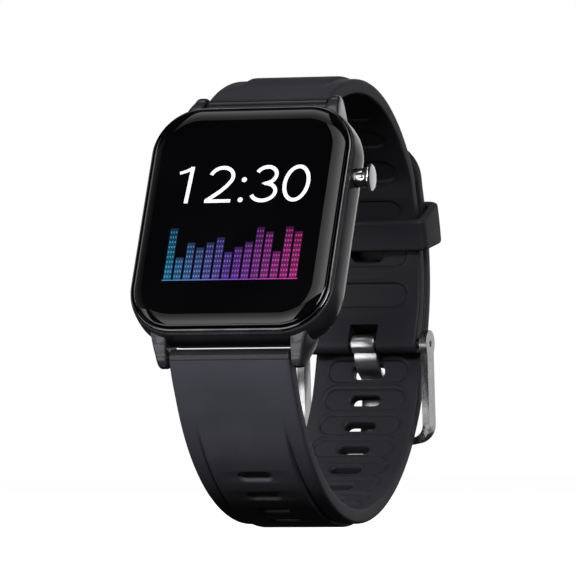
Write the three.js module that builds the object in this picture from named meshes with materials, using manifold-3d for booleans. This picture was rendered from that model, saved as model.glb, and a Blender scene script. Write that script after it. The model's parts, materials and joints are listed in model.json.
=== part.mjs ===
// A square smartwatch on a buckled rubber strap, standing on its strap loop with the face leaning back.
// Millimetres, +Z up. Each piece is drawn in the watch head's own frame: X towards the crown, Y from the
// glass into the case, Z towards 12 o'clock, with the middle of the glass edge at the origin.
import * as THREE from 'three';
import { mergeVertices } from 'three/addons/utils/BufferGeometryUtils.js';
import Module from 'manifold-3d';

const wasm = await Module();
wasm.setup();

const DEG = Math.PI / 180;

// ---- driving dimensions ----
const RECLINE = 24.5;            // degrees that the face leans back
const STRAP_WIDTH = 20;          // standard strap width at the lugs
const STRAP_END_WIDTH = 18.4;    // width at the buckle and the free tip
const STRAP_THICK = 2.4;         // rubber thickness at the borders
const BAND_RAISE = 0.5;          // height of the raised middle band over the borders
const END_SWELL = 0.8;           // extra thickness where the rubber wraps a spring bar

const GLASS = { halfX: 16, halfZ: 18.85, corner: 7.25, front: -0.8, back: 0.55 };
const CASE = { halfX: 17.1, halfZ: 19.95, corner: 8.35, front: 0.58, back: 8.6 };
const LEDGE_Y = 0.95;            // the glass seal rests on this ledge
const BOARD_Y = [5.9, 6.6];      // main board, front and back faces
const COVER_Y = [7.75, 8.9];     // back cover, inner and outer faces
const PLATEAU_Y = 9.5;           // flat middle of the back, on the wrist

// Spring bars at the lugs.
const BAR = { y: 5, z: 21.7, radius: 0.75, half: 9.3, reach: 11.1 };
const LUG_GAP = STRAP_WIDTH / 2 + 0.3;

const LOOP = { y: 31.3, z: 0.35, radius: 34.2 };     // middle of the rubber, round the wrist
const BACK = { y: 34.95, z: 6.84, radius: 26 };      // flatter stretch on the upper far side
const END_RADIUS = (STRAP_THICK + END_SWELL) / 2;    // round the spring bars
const TIP_LENGTH = 9;                                // rounded end of the long strap
const TAIL_GAP = 3.2;                                // middle of the tail to middle of the short strap
// The buckle's spring bar.
const PIVOT = { y: BACK.y + BACK.radius, z: BACK.z, half: 8.8, reach: 10.9 };
// Slots in the long strap: pitch and the used slot's place in degrees round the loop.
const SLOT = { width: 5.6, height: 2.6, pitch: 8.48, used: 5.5, above: 2, below: 13 };
const KEEPER = { middle: 41.3, spread: 12.6 };       // degrees round the far side's centre

const CROWN = { y: 3, z: 8.05 };

// ---- materials ----
function paint(color, roughness, metalness) {
  return new THREE.MeshStandardMaterial({ color, roughness, metalness });
}
const blackMetal = () => paint(0x17181b, 0.32, 0.8);
const darkMirror = () => paint(0x5a5c60, 0.12, 1);
const steel = () => paint(0xb8babd, 0.25, 1);
const chrome = () => paint(0xe4e6e8, 0.08, 1);
const rubber = () => paint(0x1c1c1f, 0.62, 0);
const blackPlastic = () => paint(0x141416, 0.5, 0);
const blackGlass = () => paint(0x040405, 0.04, 0);
const boardGreen = () => paint(0x14472f, 0.5, 0.1);
const foil = () => paint(0x8d9196, 0.4, 0.7);
const gold = () => paint(0xd6a545, 0.25, 1);

// ---- closed meshes ----

// Welds the corners, drops faces with no area and turns the faces outward.
function weld(geometry) {
  const bare = new THREE.BufferGeometry();
  bare.setAttribute('position', geometry.getAttribute('position').clone());
  if (geometry.index) bare.setIndex(Array.from(geometry.index.array));
  const merged = mergeVertices(bare, 1e-4);
  const at = merged.getAttribute('position');
  const kept = [];
  let volume = 0;
  for (let i = 0; i < merged.index.count; i += 3) {
    const corners = [0, 1, 2].map((k) => merged.index.getX(i + k));
    if (new Set(corners).size < 3) continue;
    kept.push(corners);
    const [a, b, c] = corners.map((n) => new THREE.Vector3().fromBufferAttribute(at, n));
    volume += a.dot(b.cross(c));
  }
  if (volume < 0) kept.forEach((corners) => corners.reverse());
  merged.setIndex(kept.flat());
  return merged;
}

function solid(geometry) {
  const mesh = weld(geometry);
  const vertProperties = new Float32Array(mesh.getAttribute('position').array);
  const triVerts = new Uint32Array(mesh.index.array);
  return new wasm.Manifold(new wasm.Mesh({ numProp: 3, vertProperties, triVerts }));
}

function geometryOf(body) {
  const mesh = body.getMesh();
  const geometry = new THREE.BufferGeometry();
  geometry.setAttribute('position', new THREE.BufferAttribute(new Float32Array(mesh.vertProperties), 3));
  geometry.setIndex(Array.from(mesh.triVerts));
  return geometry;
}

const join = (...shapes) => geometryOf(shapes.map(solid).reduce((all, next) => all.add(next)));
function cut(shape, ...tools) {
  return geometryOf(tools.map(solid).reduce((left, tool) => left.subtract(tool), solid(shape)));
}

// ---- basic shapes ----
function block(sizeX, sizeY, sizeZ, x, y, z) {
  return new THREE.BoxGeometry(sizeX, sizeY, sizeZ).translate(x, y, z);
}

function rodX(radius, fromX, toX, y, z, sides = 20) {
  const rod = new THREE.CylinderGeometry(radius, radius, toX - fromX, sides);
  return rod.rotateZ(-Math.PI / 2).translate((fromX + toX) / 2, y, z);
}

function rodY(radius, fromY, toY, x, z, sides = 24) {
  return new THREE.CylinderGeometry(radius, radius, toY - fromY, sides).translate(x, (fromY + toY) / 2, z);
}

// A turned piece: each profile point is [distance along the axis, radius].
function turned(profile, sides) {
  return new THREE.LatheGeometry(profile.map(([along, radius]) => new THREE.Vector2(radius, along)), sides);
}

const turnedX = (profile, y, z, sides = 20) =>
  turned(profile, sides).rotateZ(-Math.PI / 2).translate(0, y, z);
const turnedY = (profile, x, z, sides = 24) => turned(profile, sides).translate(x, 0, z);

function roundedShape(halfX, halfZ, corner) {
  const shape = new THREE.Shape();
  shape.absarc(halfX - corner, halfZ - corner, corner, 0, Math.PI / 2);
  shape.absarc(corner - halfX, halfZ - corner, corner, Math.PI / 2, Math.PI);
  shape.absarc(corner - halfX, corner - halfZ, corner, Math.PI, 1.5 * Math.PI);
  shape.absarc(halfX - corner, corner - halfZ, corner, 1.5 * Math.PI, 2 * Math.PI);
  return shape;
}

// A flat piece drawn in X and Z, between two depths.
function plate(shape, fromY, toY, steps = 4) {
  const options = { depth: toY - fromY, bevelEnabled: false, curveSegments: steps };
  return new THREE.ExtrudeGeometry(shape, options).rotateX(Math.PI / 2).translate(0, toY, 0);
}

const roundedPlate = (halfX, halfZ, corner, fromY, toY) =>
  plate(roundedShape(halfX, halfZ, corner), fromY, toY);

// A piece drawn in Y and Z, between two places along X.
function prism(shape, fromX, toX, steps = 6) {
  const options = { depth: toX - fromX, bevelEnabled: false, curveSegments: steps };
  const turn = new THREE.Matrix4().makeBasis(
    new THREE.Vector3(0, 1, 0), new THREE.Vector3(0, 0, 1), new THREE.Vector3(1, 0, 0));
  return new THREE.ExtrudeGeometry(shape, options).applyMatrix4(turn).translate(fromX, 0, 0);
}

// Skins a row of equal outlines: place(station, point) puts each outline point in space.
function skin(outlines, place) {
  const count = outlines[0].length;
  const positions = [];
  const faces = [];
  outlines.forEach((outline, station) => {
    outline.forEach((point) => positions.push(...place(station, point)));
  });
  for (let station = 0; station + 1 < outlines.length; station += 1) {
    for (let k = 0; k < count; k += 1) {
      const a = station * count + k;
      const b = station * count + ((k + 1) % count);
      faces.push(a, b, b + count, a, b + count, a + count);
    }
  }
  const last = (outlines.length - 1) * count;
  const capsAt = (outline) => THREE.ShapeUtils.triangulateShape(outline, []);
  capsAt(outlines[0]).forEach(([a, b, c]) => faces.push(c, b, a));
  capsAt(outlines.at(-1)).forEach(([a, b, c]) => faces.push(last + a, last + b, last + c));
  const geometry = new THREE.BufferGeometry();
  geometry.setAttribute('position', new THREE.Float32BufferAttribute(positions, 3));
  geometry.setIndex(faces);
  return geometry;
}

// A rounded slab whose sides follow a profile of [depth, how far the outline is drawn in].
function slab(frame, profile) {
  const outlines = profile.map(([, inset]) =>
    roundedShape(frame.halfX - inset, frame.halfZ - inset, frame.corner - inset).getPoints(5).slice(0, -1));
  return skin(outlines, (station, point) => [point.x, profile[station][0], point.y]);
}

// A strip of even thickness along a smooth line in Y and Z.
function ribbon(points, thickness, fromX, toX, steps = 24) {
  const line = new THREE.SplineCurve(points.map(([y, z]) => new THREE.Vector2(y, z)));
  const near = [];
  const far = [];
  for (let i = 0; i <= steps; i += 1) {
    const point = line.getPointAt(i / steps);
    const along = line.getTangentAt(i / steps);
    const aside = new THREE.Vector2(-along.y, along.x).multiplyScalar(thickness / 2);
    near.push(point.clone().add(aside));
    far.unshift(point.clone().sub(aside));
  }
  return prism(new THREE.Shape([...near, ...far]), fromX, toX);
}

// A coil of wire along X.
function coil(radius, wire, fromX, toX, turns, y, z) {
  class Helix extends THREE.Curve {
    getPoint(t, target = new THREE.Vector3()) {
      const angle = 2 * Math.PI * turns * t;
      const x = fromX + wire + (toX - fromX - 2 * wire) * t;
      return target.set(x, y + radius * Math.cos(angle), z + radius * Math.sin(angle));
    }
  }
  const half = wire * Math.SQRT1_2;
  const section = new THREE.Shape([[1, 1], [-1, 1], [-1, -1], [1, -1]].map(([x, y]) =>
    new THREE.Vector2(half * x, half * y)));
  const options = { steps: turns * 6, bevelEnabled: false, extrudePath: new Helix() };
  return new THREE.ExtrudeGeometry(section, options);
}

// ---- the scene ----
const watch = new THREE.Group();
const head = new THREE.Group();
const strap = new THREE.Group();
watch.add(head, strap);

function add(group, name, geometry, material) {
  const mesh = new THREE.Mesh(weld(geometry), material);
  mesh.name = name;
  group.add(mesh);
}

const mirrored = (geometry) => geometry.clone().scale(-1, 1, 1);

// ---- case ----
// The case's side from front to back: depth and how far it is drawn in.
const FLANK = [[CASE.front, 0.42], [0.85, 0.28], [2, 0.1], [3.2, 0], [4.6, 0], [6.1, 0.4], [7.4, 1.15],
  [CASE.back, 2.2]];

// One lug's side view, from the case wall round the spring bar and back.
function lugShape() {
  const side = new THREE.Shape();
  side.moveTo(1.6, -18.2);
  side.quadraticCurveTo(2, -20.6, BAR.y - 1.7, -BAR.z - 0.4);
  side.absarc(BAR.y, -BAR.z, 1.75, Math.PI + 0.25, 2 * Math.PI - 0.3);
  side.lineTo(7.6, -19.2);
  side.lineTo(7.2, -17);
  return side;
}

function lug() {
  const arm = prism(lugShape(), LUG_GAP, 13.4);
  const taper = block(6, 20, 14, 3, 0, -7).rotateY(13.4 * DEG).translate(12.95, 4, -18.6);
  return cut(arm, taper, rodX(0.6, LUG_GAP - 1, BAR.reach + 0.25, BAR.y, -BAR.z, 12));
}

function caseShell() {
  const lugPair = [lug(), mirrored(lug())];
  const lugs = [...lugPair, ...lugPair.map((arm) => arm.clone().scale(1, 1, -1))];
  const body = join(slab(CASE, FLANK), ...lugs);
  return cut(
    body,
    roundedPlate(16.3, 19.15, 7.55, -1, LEDGE_Y),
    roundedPlate(14.8, 17.65, 6.1, 0.5, 5.5),
    roundedPlate(12.2, 15, 6, 5, 9),
    roundedPlate(13.9, 16.75, 4.3, 7.4, 10),
    rodX(1.5, 14, 19, CROWN.y, CROWN.z, 24),
    ...screwPlaces().map(([x, z]) => rodY(0.45, 6.4, 7.5, x, z, 12)),
    rodX(0.4, -19, -14, 3.2, -6, 12),
  );
}

function screwPlaces() {
  return [[11.4, 14.2], [-11.4, 14.2], [-11.4, -14.2], [11.4, -14.2]];
}

function bezelRing() {
  const outer = { halfX: 16.64, halfZ: 19.49, corner: 7.89 };
  const ring = slab(outer, [[-0.02, 0.3], [0.1, 0.1], [0.25, 0], [0.5, 0]]);
  return cut(ring, slab({ halfX: 16.14, halfZ: 18.99, corner: 7.39 }, [[-0.4, -0.2], [0.08, 0], [1, 0]]));
}

function glassLens() {
  // The edge rolls off like a quarter of an ellipse, steep at the rim and flat towards the middle.
  const roll = (turn) => [-0.05 - 0.75 * Math.cos(turn), 2.9 * (1 - Math.sin(turn))];
  const steps = [0, 18, 36, 54, 72, 90];
  return slab(GLASS, [...steps.map((step) => roll(step * DEG)), [0.1, 0], [GLASS.back, 0.05]]);
}

function ring(halfX, halfZ, corner, width, fromY, toY) {
  return cut(
    roundedPlate(halfX, halfZ, corner, fromY, toY),
    roundedPlate(halfX - width, halfZ - width, corner - width, fromY - 1, toY + 1),
  );
}

add(head, 'case_shell', caseShell(), blackMetal());
add(head, 'bezel_ring', bezelRing(), darkMirror());
add(head, 'glass_lens', glassLens(), blackGlass());
add(head, 'glass_seal', ring(15.9, 18.75, 7.15, 0.9, 0.65, 0.85), blackPlastic());

// ---- back of the case ----
function backCover() {
  const cover = join(
    roundedPlate(13.6, 16.45, 4, ...COVER_Y),
    turnedY([[COVER_Y[0], 0], [COVER_Y[0], 11.2], [COVER_Y[1], 11.2], [PLATEAU_Y - 0.15, 10.5],
      [PLATEAU_Y, 10.2], [PLATEAU_Y, 0]], 0, 0, 36),
  );
  const heads = screwPlaces().map(([x, z]) => rodY(1.05, 8.35, 10, x, z, 16));
  const shanks = screwPlaces().map(([x, z]) => rodY(0.6, 7, 10, x, z, 12));
  const pins = [-1.5, 1.5].map((x) => rodY(1.05, 7, 10, x, -12.6, 16));
  return cut(cover, ...heads, ...shanks, ...pins, rodY(5.2, 7, 10, 0, 0, 24));
}

function caseScrew(x, z) {
  const profile = [[6.55, 0], [6.55, 0.38], [8.42, 0.38], [8.42, 0.88], [8.85, 0.88], [8.85, 0]];
  return cut(turnedY(profile, x, z, 12), block(0.28, 0.5, 1, x, 8.8, z), block(1, 0.5, 0.28, x, 8.8, z));
}

function coverSeal() {
  const screws = screwPlaces().map(([x, z]) => rodY(0.75, 7, 8, x, z, 12));
  return cut(roundedPlate(13.55, 16.4, 3.95, 7.47, 7.67), roundedPlate(12.5, 15.3, 6.3, 7, 8), ...screws);
}

add(head, 'back_cover', backCover(), blackPlastic());
add(head, 'back_cover_seal', coverSeal(), rubber());
screwPlaces().forEach(([x, z], i) => add(head, `case_screw_${i + 1}`, caseScrew(x, z), steel()));

const windowProfile = [[8.15, 0], [8.15, 4.95], [9.55, 4.95], [9.8, 4.5], [10, 2.8], [10.08, 0]];
add(head, 'sensor_window', turnedY(windowProfile, 0, 0, 24), blackGlass());
add(head, 'sensor_board', rodY(4.6, 6.9, 7.35, 0, 0, 28), boardGreen());
[-2.6, 2.6].forEach((x, i) => {
  add(head, `pulse_led_${i + 1}`, block(1.6, 0.45, 1, x, 7.65, 0), gold());
});
add(head, 'pulse_photodiode', block(2.2, 0.4, 2.6, 0, 7.62, 0), blackGlass());

[-1.5, 1.5].forEach((x, i) => {
  const pin = [[6.8, 0], [6.8, 0.7], [7.2, 0.7], [7.2, 1.3], [7.6, 1.3], [7.6, 0.9], [8.8, 0.9], [8.95, 0.75],
    [8.95, 0]];
  add(head, `charge_contact_${i + 1}`, turnedY(pin, x, -12.6, 16), gold());
});
[-5.4, 5.4].forEach((x, i) => {
  add(head, `charge_magnet_${i + 1}`, rodY(1.6, 6.75, 7.62, x, -12.4, 20), foil());
});

// ---- inside the case ----
function midFrame() {
  const walls = cut(roundedPlate(14.5, 17.35, 5.8, 2.35, 5.2), roundedPlate(12.9, 15.75, 4.3, 1, 6));
  const rib = block(26, 2.85, 0.7, 0, 3.775, 5.5);
  return cut(join(walls, rib), block(9, 6, 4.4, 14.2, 3.5, 8.05), block(9.6, 6, 5, 0, 3.5, -17));
}

function shieldCan() {
  return cut(block(8, 0.95, 6.4, 3.4, 5.325, 11), block(7.6, 0.95, 6, 3.4, 5.475, 11));
}

add(head, 'display_panel', roundedPlate(13.4, 16.1, 4.6, 0.7, 1.9), blackGlass());
const flexLine = [[2.05, -14.6], [2.1, -15.8], [3, -16.6], [4.3, -16.4], [5.1, -15.3], [5.4, -14.3],
  [5.5, -13.6]];
add(head, 'display_flex', ribbon(flexLine, 0.14, -4, 4), gold());
add(head, 'mid_frame', midFrame(), blackPlastic());
add(head, 'battery', roundedPlate(11.6, 8.85, 1, 2.35, 5.45).translate(0, 0, -4.15), foil());
add(head, 'battery_lead', block(3.2, 0.16, 1.3, -4, 5.68, 3.9), gold());
add(head, 'main_board', roundedPlate(11.9, 14.7, 5.7, ...BOARD_Y), boardGreen());
add(head, 'shield_can', shieldCan(), foil());
add(head, 'processor_chip', block(4.6, 0.55, 4.6, 3.4, 5.52, 11), blackPlastic());
add(head, 'memory_chip', block(2, 0.7, 2.4, 8.9, 5.5, 11.6), blackPlastic());
add(head, 'board_connector', block(2.2, 0.8, 1.6, 8.9, 5.45, 7.4), blackPlastic());

// ---- vibration motor: a lopsided rotor in a shallow can ----
const MOTOR = { x: -6.9, z: 10.7 };

function motorCan() {
  return cut(rodY(4, 2.5, 5.3, MOTOR.x, MOTOR.z, 24), rodY(3.75, 2.75, 6, MOTOR.x, MOTOR.z, 24));
}

function motorRotor() {
  const half = new THREE.Shape().absarc(0, 0, 3.35, 0, Math.PI);
  const weight = join(plate(half, 3.3, 4.6, 16), rodY(1, 3.3, 4.6, 0, 0, 20));
  return cut(weight, rodY(0.5, 3, 5, 0, 0, 16)).translate(MOTOR.x, 0, MOTOR.z);
}

add(head, 'motor_can', motorCan(), steel());
add(head, 'motor_base', rodY(3.95, 5.4, 5.6, MOTOR.x, MOTOR.z, 24), foil());
add(head, 'motor_pin', rodY(0.42, 2.85, 5.25, MOTOR.x, MOTOR.z, 12), chrome());
add(head, 'motor_rotor', motorRotor(), foil());

// ---- crown: it turns freely and presses a switch ----
// Turned profiles: distance along the crown's axis and radius.
const CROWN_CAP = [[17.9, 0.75], [17.9, 1.45], [18.05, 1.55], [18.75, 1.55], [18.9, 1.4], [19.05, 1.55],
  [19.25, 2.05], [19.45, 2.15], [19.62, 2.05], [19.75, 1.5], [19.8, 0.8], [19.82, 0], [18.7, 0], [18.7, 0.75],
  [17.9, 0.75]];
const CROWN_TUBE = [[14.95, 0.75], [14.95, 1.3], [17.4, 1.3], [17.4, 1.12], [15.95, 1.12], [15.95, 0.75],
  [14.95, 0.75]];
const CROWN_SHAFT = [[13.3, 0], [13.3, 0.52], [14.15, 0.52], [14.15, 0.36], [14.55, 0.36], [14.55, 0.52],
  [15.2, 0.52], [15.2, 0.4], [15.55, 0.4], [15.55, 0.52], [18.55, 0.52], [18.55, 0]];

function sealRing(middle, radius, thickness) {
  const round = [0, 60, 120, 180, 240, 300, 360].map((turn) =>
    [middle + thickness * Math.cos(turn * DEG), radius + thickness * Math.sin(turn * DEG)]);
  return turnedX(round, CROWN.y, CROWN.z, 14);
}

function crownClip() {
  const section = [[14.22, 0.42], [14.22, 1.15], [14.48, 1.15], [14.48, 0.42], [14.22, 0.42]];
  const washer = turnedX(section, CROWN.y, CROWN.z, 24);
  return cut(washer, block(2, 2, 0.7, 14.35, CROWN.y + 1, CROWN.z));
}

function switchBody() {
  return cut(block(1.5, 2.6, 3.4, 11.35, 3.3, CROWN.z), rodX(0.7, 11, 13, CROWN.y, CROWN.z, 16));
}

add(head, 'crown_cap', turnedX(CROWN_CAP, CROWN.y, CROWN.z, 24), chrome());
add(head, 'crown_shaft', turnedX(CROWN_SHAFT, CROWN.y, CROWN.z, 16), steel());
add(head, 'crown_tube', turnedX(CROWN_TUBE, CROWN.y, CROWN.z, 24), steel());
add(head, 'crown_seal', sealRing(15.375, 0.56, 0.11), rubber());
add(head, 'crown_clip', crownClip(), steel());
add(head, 'crown_spring', coil(0.84, 0.11, 16.05, 17.8, 3, CROWN.y, CROWN.z), steel());
add(head, 'crown_pusher', rodX(0.85, 12.7, 13.2, CROWN.y, CROWN.z, 16), paint(0xd9d6cc, 0.5, 0));
add(head, 'switch_body', switchBody(), blackPlastic());
add(head, 'switch_plunger', rodX(0.55, 11.5, 12.6, CROWN.y, CROWN.z, 16), gold());

// ---- spring bars: a tube, two sprung tips and the spring between them ----
function barTube(half, slotX) {
  const tube = turnedX([[-half, 0.5], [-half, BAR.radius], [half, BAR.radius], [half, 0.5], [half - 0.6, 0.5],
    [half - 0.6, 0.6], [0.6 - half, 0.6], [0.6 - half, 0.5], [-half, 0.5]], 0, 0, 16);
  return slotX === undefined ? tube : cut(tube, block(2.3, 2, 0.9, slotX, 1, 0));
}

function barTip(half, reach, lever) {
  const profile = [[half - 3.2, 0], [half - 3.2, 0.53], [half - 2, 0.53], [half - 2, 0.42],
    [reach - 0.2, 0.42], [reach, 0.3], [reach, 0]];
  const pin = turnedX(profile, 0, 0, 12);
  return lever ? join(pin, rodY(0.32, 0, 2.3, half - 2.6, 0, 10)) : pin;
}

function springBar(name, half, reach, y, z, hasLever) {
  const place = (geometry) => geometry.rotateX(-Math.atan2(z, y - LOOP.y) + Math.PI).translate(0, y, z);
  add(strap, `${name}_tube`, place(barTube(half, hasLever ? 3.2 - half : undefined)), steel());
  add(strap, `${name}_tip_left`, place(mirrored(barTip(half, reach, hasLever))), steel());
  add(strap, `${name}_tip_right`, place(barTip(half, reach, false)), steel());
  add(strap, `${name}_spring`, place(coil(0.42, 0.1, 3.3 - half, half - 3.3, 6, 0, 0)), steel());
}

springBar('upper_bar', BAR.half, BAR.reach, BAR.y, BAR.z, true);
springBar('lower_bar', BAR.half, BAR.reach, BAR.y, -BAR.z, true);
springBar('buckle_bar', PIVOT.half, PIVOT.reach, PIVOT.y, PIVOT.z, false);

// ---- strap ----
const round = (centre, radius, turn) =>
  new THREE.Vector3(0, centre.y + radius * Math.cos(turn * DEG), centre.z + radius * Math.sin(turn * DEG));

function spread(from, to, step) {
  const count = Math.ceil(Math.abs(to - from) / step);
  return Array.from({ length: count + 1 }, (_, i) => from + ((to - from) * i) / count);
}

// Middle line of the short strap: over the top of the wrist and down to the buckle.
const shortLine = new THREE.CatmullRomCurve3([
  new THREE.Vector3(0, BAR.y, BAR.z),
  ...spread(132, 62, 8).map((turn) => round(LOOP, LOOP.radius, turn)),
  ...spread(55, 0, 8).map((turn) => round(BACK, BACK.radius, turn)),
], false, 'centripetal');

// Middle line of the long strap: under the wrist, up through the buckle and outside the short strap.
const tailRadius = (turn) => BACK.radius + TAIL_GAP + 1.1 * THREE.MathUtils.smoothstep(turn, 50, 60);
const longLine = new THREE.CatmullRomCurve3([
  new THREE.Vector3(0, BAR.y, -BAR.z),
  ...spread(-132, -2, 8).map((turn) => round(LOOP, LOOP.radius, turn)),
  ...spread(12, 74, 7).map((turn) => round(BACK, tailRadius(turn), turn)),
], false, 'centripetal');

// A place on a strap: point, direction along it and direction away from the wrist.
function placeOn(line, share) {
  const point = line.getPointAt(share);
  const along = line.getTangentAt(share);
  const out = new THREE.Vector3(0, -along.z, along.y);
  if (out.dot(new THREE.Vector3(0, point.y - LOOP.y, point.z)) < 0) out.negate();
  return { point, along, out };
}

// The rubber's section: flat inside, raised middle band outside, soft edges.
function strapSection(width, raise, thick) {
  const half = width / 2;
  const inner = -thick / 2;
  const outer = thick / 2;
  const band = half * 0.7;
  const side = [[half - 0.4, inner], [half, inner + 0.45], [half, outer - 0.55], [half - 0.45, outer],
    [band + 0.3, outer], [band, outer + raise]];
  const points = [...side, ...side.map(([x, t]) => [-x, t]).reverse()];
  return points.map(([x, t]) => new THREE.Vector2(x, t));
}

// shapeAt gives the width, the height of the raised band and the thickness at a share of the length.
function strapBody(line, stations, shapeAt) {
  const shares = Array.from({ length: stations + 1 }, (_, i) => i / stations);
  const outlines = shares.map((share) => strapSection(...shapeAt(share)));
  return skin(outlines, (station, section) => {
    const { point, out } = placeOn(line, shares[station]);
    return [section.x, point.y + out.y * section.y, point.z + out.z * section.y];
  });
}

// A pill-shaped cutter that stands across the rubber.
function pill(line, share, width, height, low, high) {
  const { point, along, out } = placeOn(line, share);
  const end = height / 2;
  const shape = new THREE.Shape();
  shape.absarc(width / 2 - end, 0, end, -Math.PI / 2, Math.PI / 2);
  shape.absarc(end - width / 2, 0, end, Math.PI / 2, 1.5 * Math.PI);
  const tool = new THREE.ExtrudeGeometry(shape, { depth: high - low, bevelEnabled: false, curveSegments: 2 });
  const side = new THREE.Vector3().crossVectors(along, out);
  const turn = new THREE.Matrix4().makeBasis(side, along, out);
  return tool.translate(0, 0, low).applyMatrix4(turn).translate(point.x, point.y, point.z);
}

const taper = (share, start, end) => THREE.MathUtils.smoothstep(share, start, end);
const widthAt = (share, start, end) =>
  STRAP_WIDTH - (STRAP_WIDTH - STRAP_END_WIDTH) * taper(share, start, end);

function lugEnd(z) {
  return rodX(END_RADIUS, -STRAP_WIDTH / 2, STRAP_WIDTH / 2, BAR.y, z, 24);
}

function strapNotch(z) {
  const turn = Math.PI - Math.atan2(z, BAR.y - LOOP.y);
  return block(4.4, 4, 2.2, 3.2 - BAR.half, 2, 0).rotateX(turn).translate(0, BAR.y, z);
}

function shortStrap() {
  const body = strapBody(shortLine, 34, (share) => [
    widthAt(share, 0.1, 0.75),
    BAND_RAISE * taper(share, 0.06, 0.3) * (1 - 0.9 * taper(share, 0.88, 0.95)),
    STRAP_THICK + END_SWELL * (1 - taper(share, 0, 0.09) + taper(share, 0.93, 1)),
  ]);
  const buckleEnd = rodX(END_RADIUS, -STRAP_END_WIDTH / 2, STRAP_END_WIDTH / 2, PIVOT.y, PIVOT.z, 24);
  const slots = [0.6, 0.8].map((share) => pill(shortLine, share, SLOT.width, SLOT.height, -3, 3));
  const dents = [0.4, 0.5, 0.6, 0.7, 0.8, 0.89].map((share) =>
    pill(shortLine, share, 13.4, 3.6, -3, 0.45 - STRAP_THICK / 2));
  return cut(
    join(body, lugEnd(BAR.z), buckleEnd),
    rodX(0.95, -12, 12, BAR.y, BAR.z, 16),
    rodX(0.95, -12, 12, PIVOT.y, PIVOT.z, 16),
    strapNotch(BAR.z),
    block(4.8, 5, 7, 0, PIVOT.y, PIVOT.z - 0.6),
    ...slots,
    ...dents,
  );
}

// The share of the long strap's length at an angle round the loop, found by halving.
function shareAt(turn) {
  let low = 0;
  let high = 1;
  for (let i = 0; i < 24; i += 1) {
    const middle = (low + high) / 2;
    const point = longLine.getPointAt(middle);
    if (Math.atan2(point.z - LOOP.z, point.y - LOOP.y) / DEG < turn) low = middle;
    else high = middle;
  }
  return low;
}

// The tongue uses one slot; others follow it up the tail and down round the loop.
function slotShares() {
  const count = SLOT.above + SLOT.below + 1;
  return Array.from({ length: count }, (_, i) => shareAt(SLOT.used + (SLOT.above - i) * SLOT.pitch));
}

function longStrap() {
  const tip = TIP_LENGTH / longLine.getLength();
  const body = strapBody(longLine, 52, (share) => {
    const toEnd = Math.max(0, (share - (1 - tip)) / tip);
    const rounding = Math.sqrt(Math.max(0.02, 1 - toEnd * toEnd));
    return [
      widthAt(share, 0.1, 0.5) * rounding,
      BAND_RAISE * taper(share, 0.04, 0.22) * (1 - 0.7 * toEnd),
      STRAP_THICK + END_SWELL * (1 - taper(share, 0, 0.06)),
    ];
  });
  const slots = slotShares().map((share) => pill(longLine, share, SLOT.width, SLOT.height, -3, 3));
  const dents = slotShares().map((share) =>
    pill(longLine, share, 13.4, 3.5, -3, 0.45 - STRAP_THICK / 2));
  return cut(
    join(body, lugEnd(-BAR.z)),
    rodX(0.95, -12, 12, BAR.y, -BAR.z, 16),
    strapNotch(-BAR.z),
    ...slots,
    ...dents,
  );
}

// A block bent round the far side's centre: the outline is drawn in X and radius.
function bent(shape, from, to, steps) {
  const outline = shape.getPoints(2);
  const turns = Array.from({ length: steps + 1 }, (_, i) => from + ((to - from) * i) / steps);
  const unique = outline.slice(0, -1);
  return skin(turns.map(() => unique), (station, point) => {
    const place = round(BACK, point.y, turns[station]);
    return [point.x, place.y, place.z];
  });
}

function boxShape(halfX, low, high, corner) {
  const shape = roundedShape(halfX, (high - low) / 2, corner);
  const points = shape.getPoints(2).map((point) => point.clone().add(new THREE.Vector2(0, (low + high) / 2)));
  return new THREE.Shape(points);
}

function keeperLoop() {
  const from = KEEPER.middle - KEEPER.spread / 2;
  const to = KEEPER.middle + KEEPER.spread / 2;
  const inside = BACK.radius - STRAP_THICK / 2 - 0.3;
  const outside = BACK.radius + TAIL_GAP + STRAP_THICK / 2 + BAND_RAISE + 0.3;
  return cut(
    bent(boxShape(10.9, inside - 1.3, outside + 1.3, 1.1), from, to, 6),
    bent(boxShape(9.6, inside, outside, 0.3), from - 2, to + 2, 8),
  );
}

add(strap, 'strap_short', shortStrap(), rubber());
add(strap, 'strap_long', longStrap(), rubber());
add(strap, 'keeper_loop', keeperLoop(), rubber());

// ---- buckle ----
const BUCKLE = { halfX: 11.3, inner: 10.1, reach: 15.8, tilt: 28.5, depth: 3.2, thick: 1.15, corner: 3.2 };

// The frame is a flat U in its own plane: arms down from the pivot, joined by the outer bar.
function buckleFrame() {
  const outer = new THREE.Shape();
  const low = -BUCKLE.reach - BUCKLE.thick / 2;
  outer.moveTo(BUCKLE.halfX, 0);
  outer.lineTo(-BUCKLE.halfX, 0);
  outer.absarc(BUCKLE.corner - BUCKLE.halfX, low + BUCKLE.corner, BUCKLE.corner, Math.PI, 1.5 * Math.PI);
  outer.absarc(BUCKLE.halfX - BUCKLE.corner, low + BUCKLE.corner, BUCKLE.corner, 1.5 * Math.PI, 2 * Math.PI);
  const inside = roundedShape(BUCKLE.inner, BUCKLE.reach, BUCKLE.corner - BUCKLE.thick);
  const bar = plate(outer, -BUCKLE.depth / 2, BUCKLE.depth / 2);
  const space = plate(inside, -3, 3).translate(0, 0, BUCKLE.thick / 2);
  const ears = [-1, 1].map((side) => {
    const middle = (side * (BUCKLE.halfX + BUCKLE.inner)) / 2;
    const half = (BUCKLE.halfX - BUCKLE.inner) / 2;
    return rodX(2.2, middle - half, middle + half, 0, 0, 28);
  });
  const frame = cut(join(cut(bar, space), ...ears), rodX(0.55, -12, 12, 0, 0, 12));
  return frame.rotateX(BUCKLE.tilt * DEG).translate(0, PIVOT.y, PIVOT.z);
}

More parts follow.
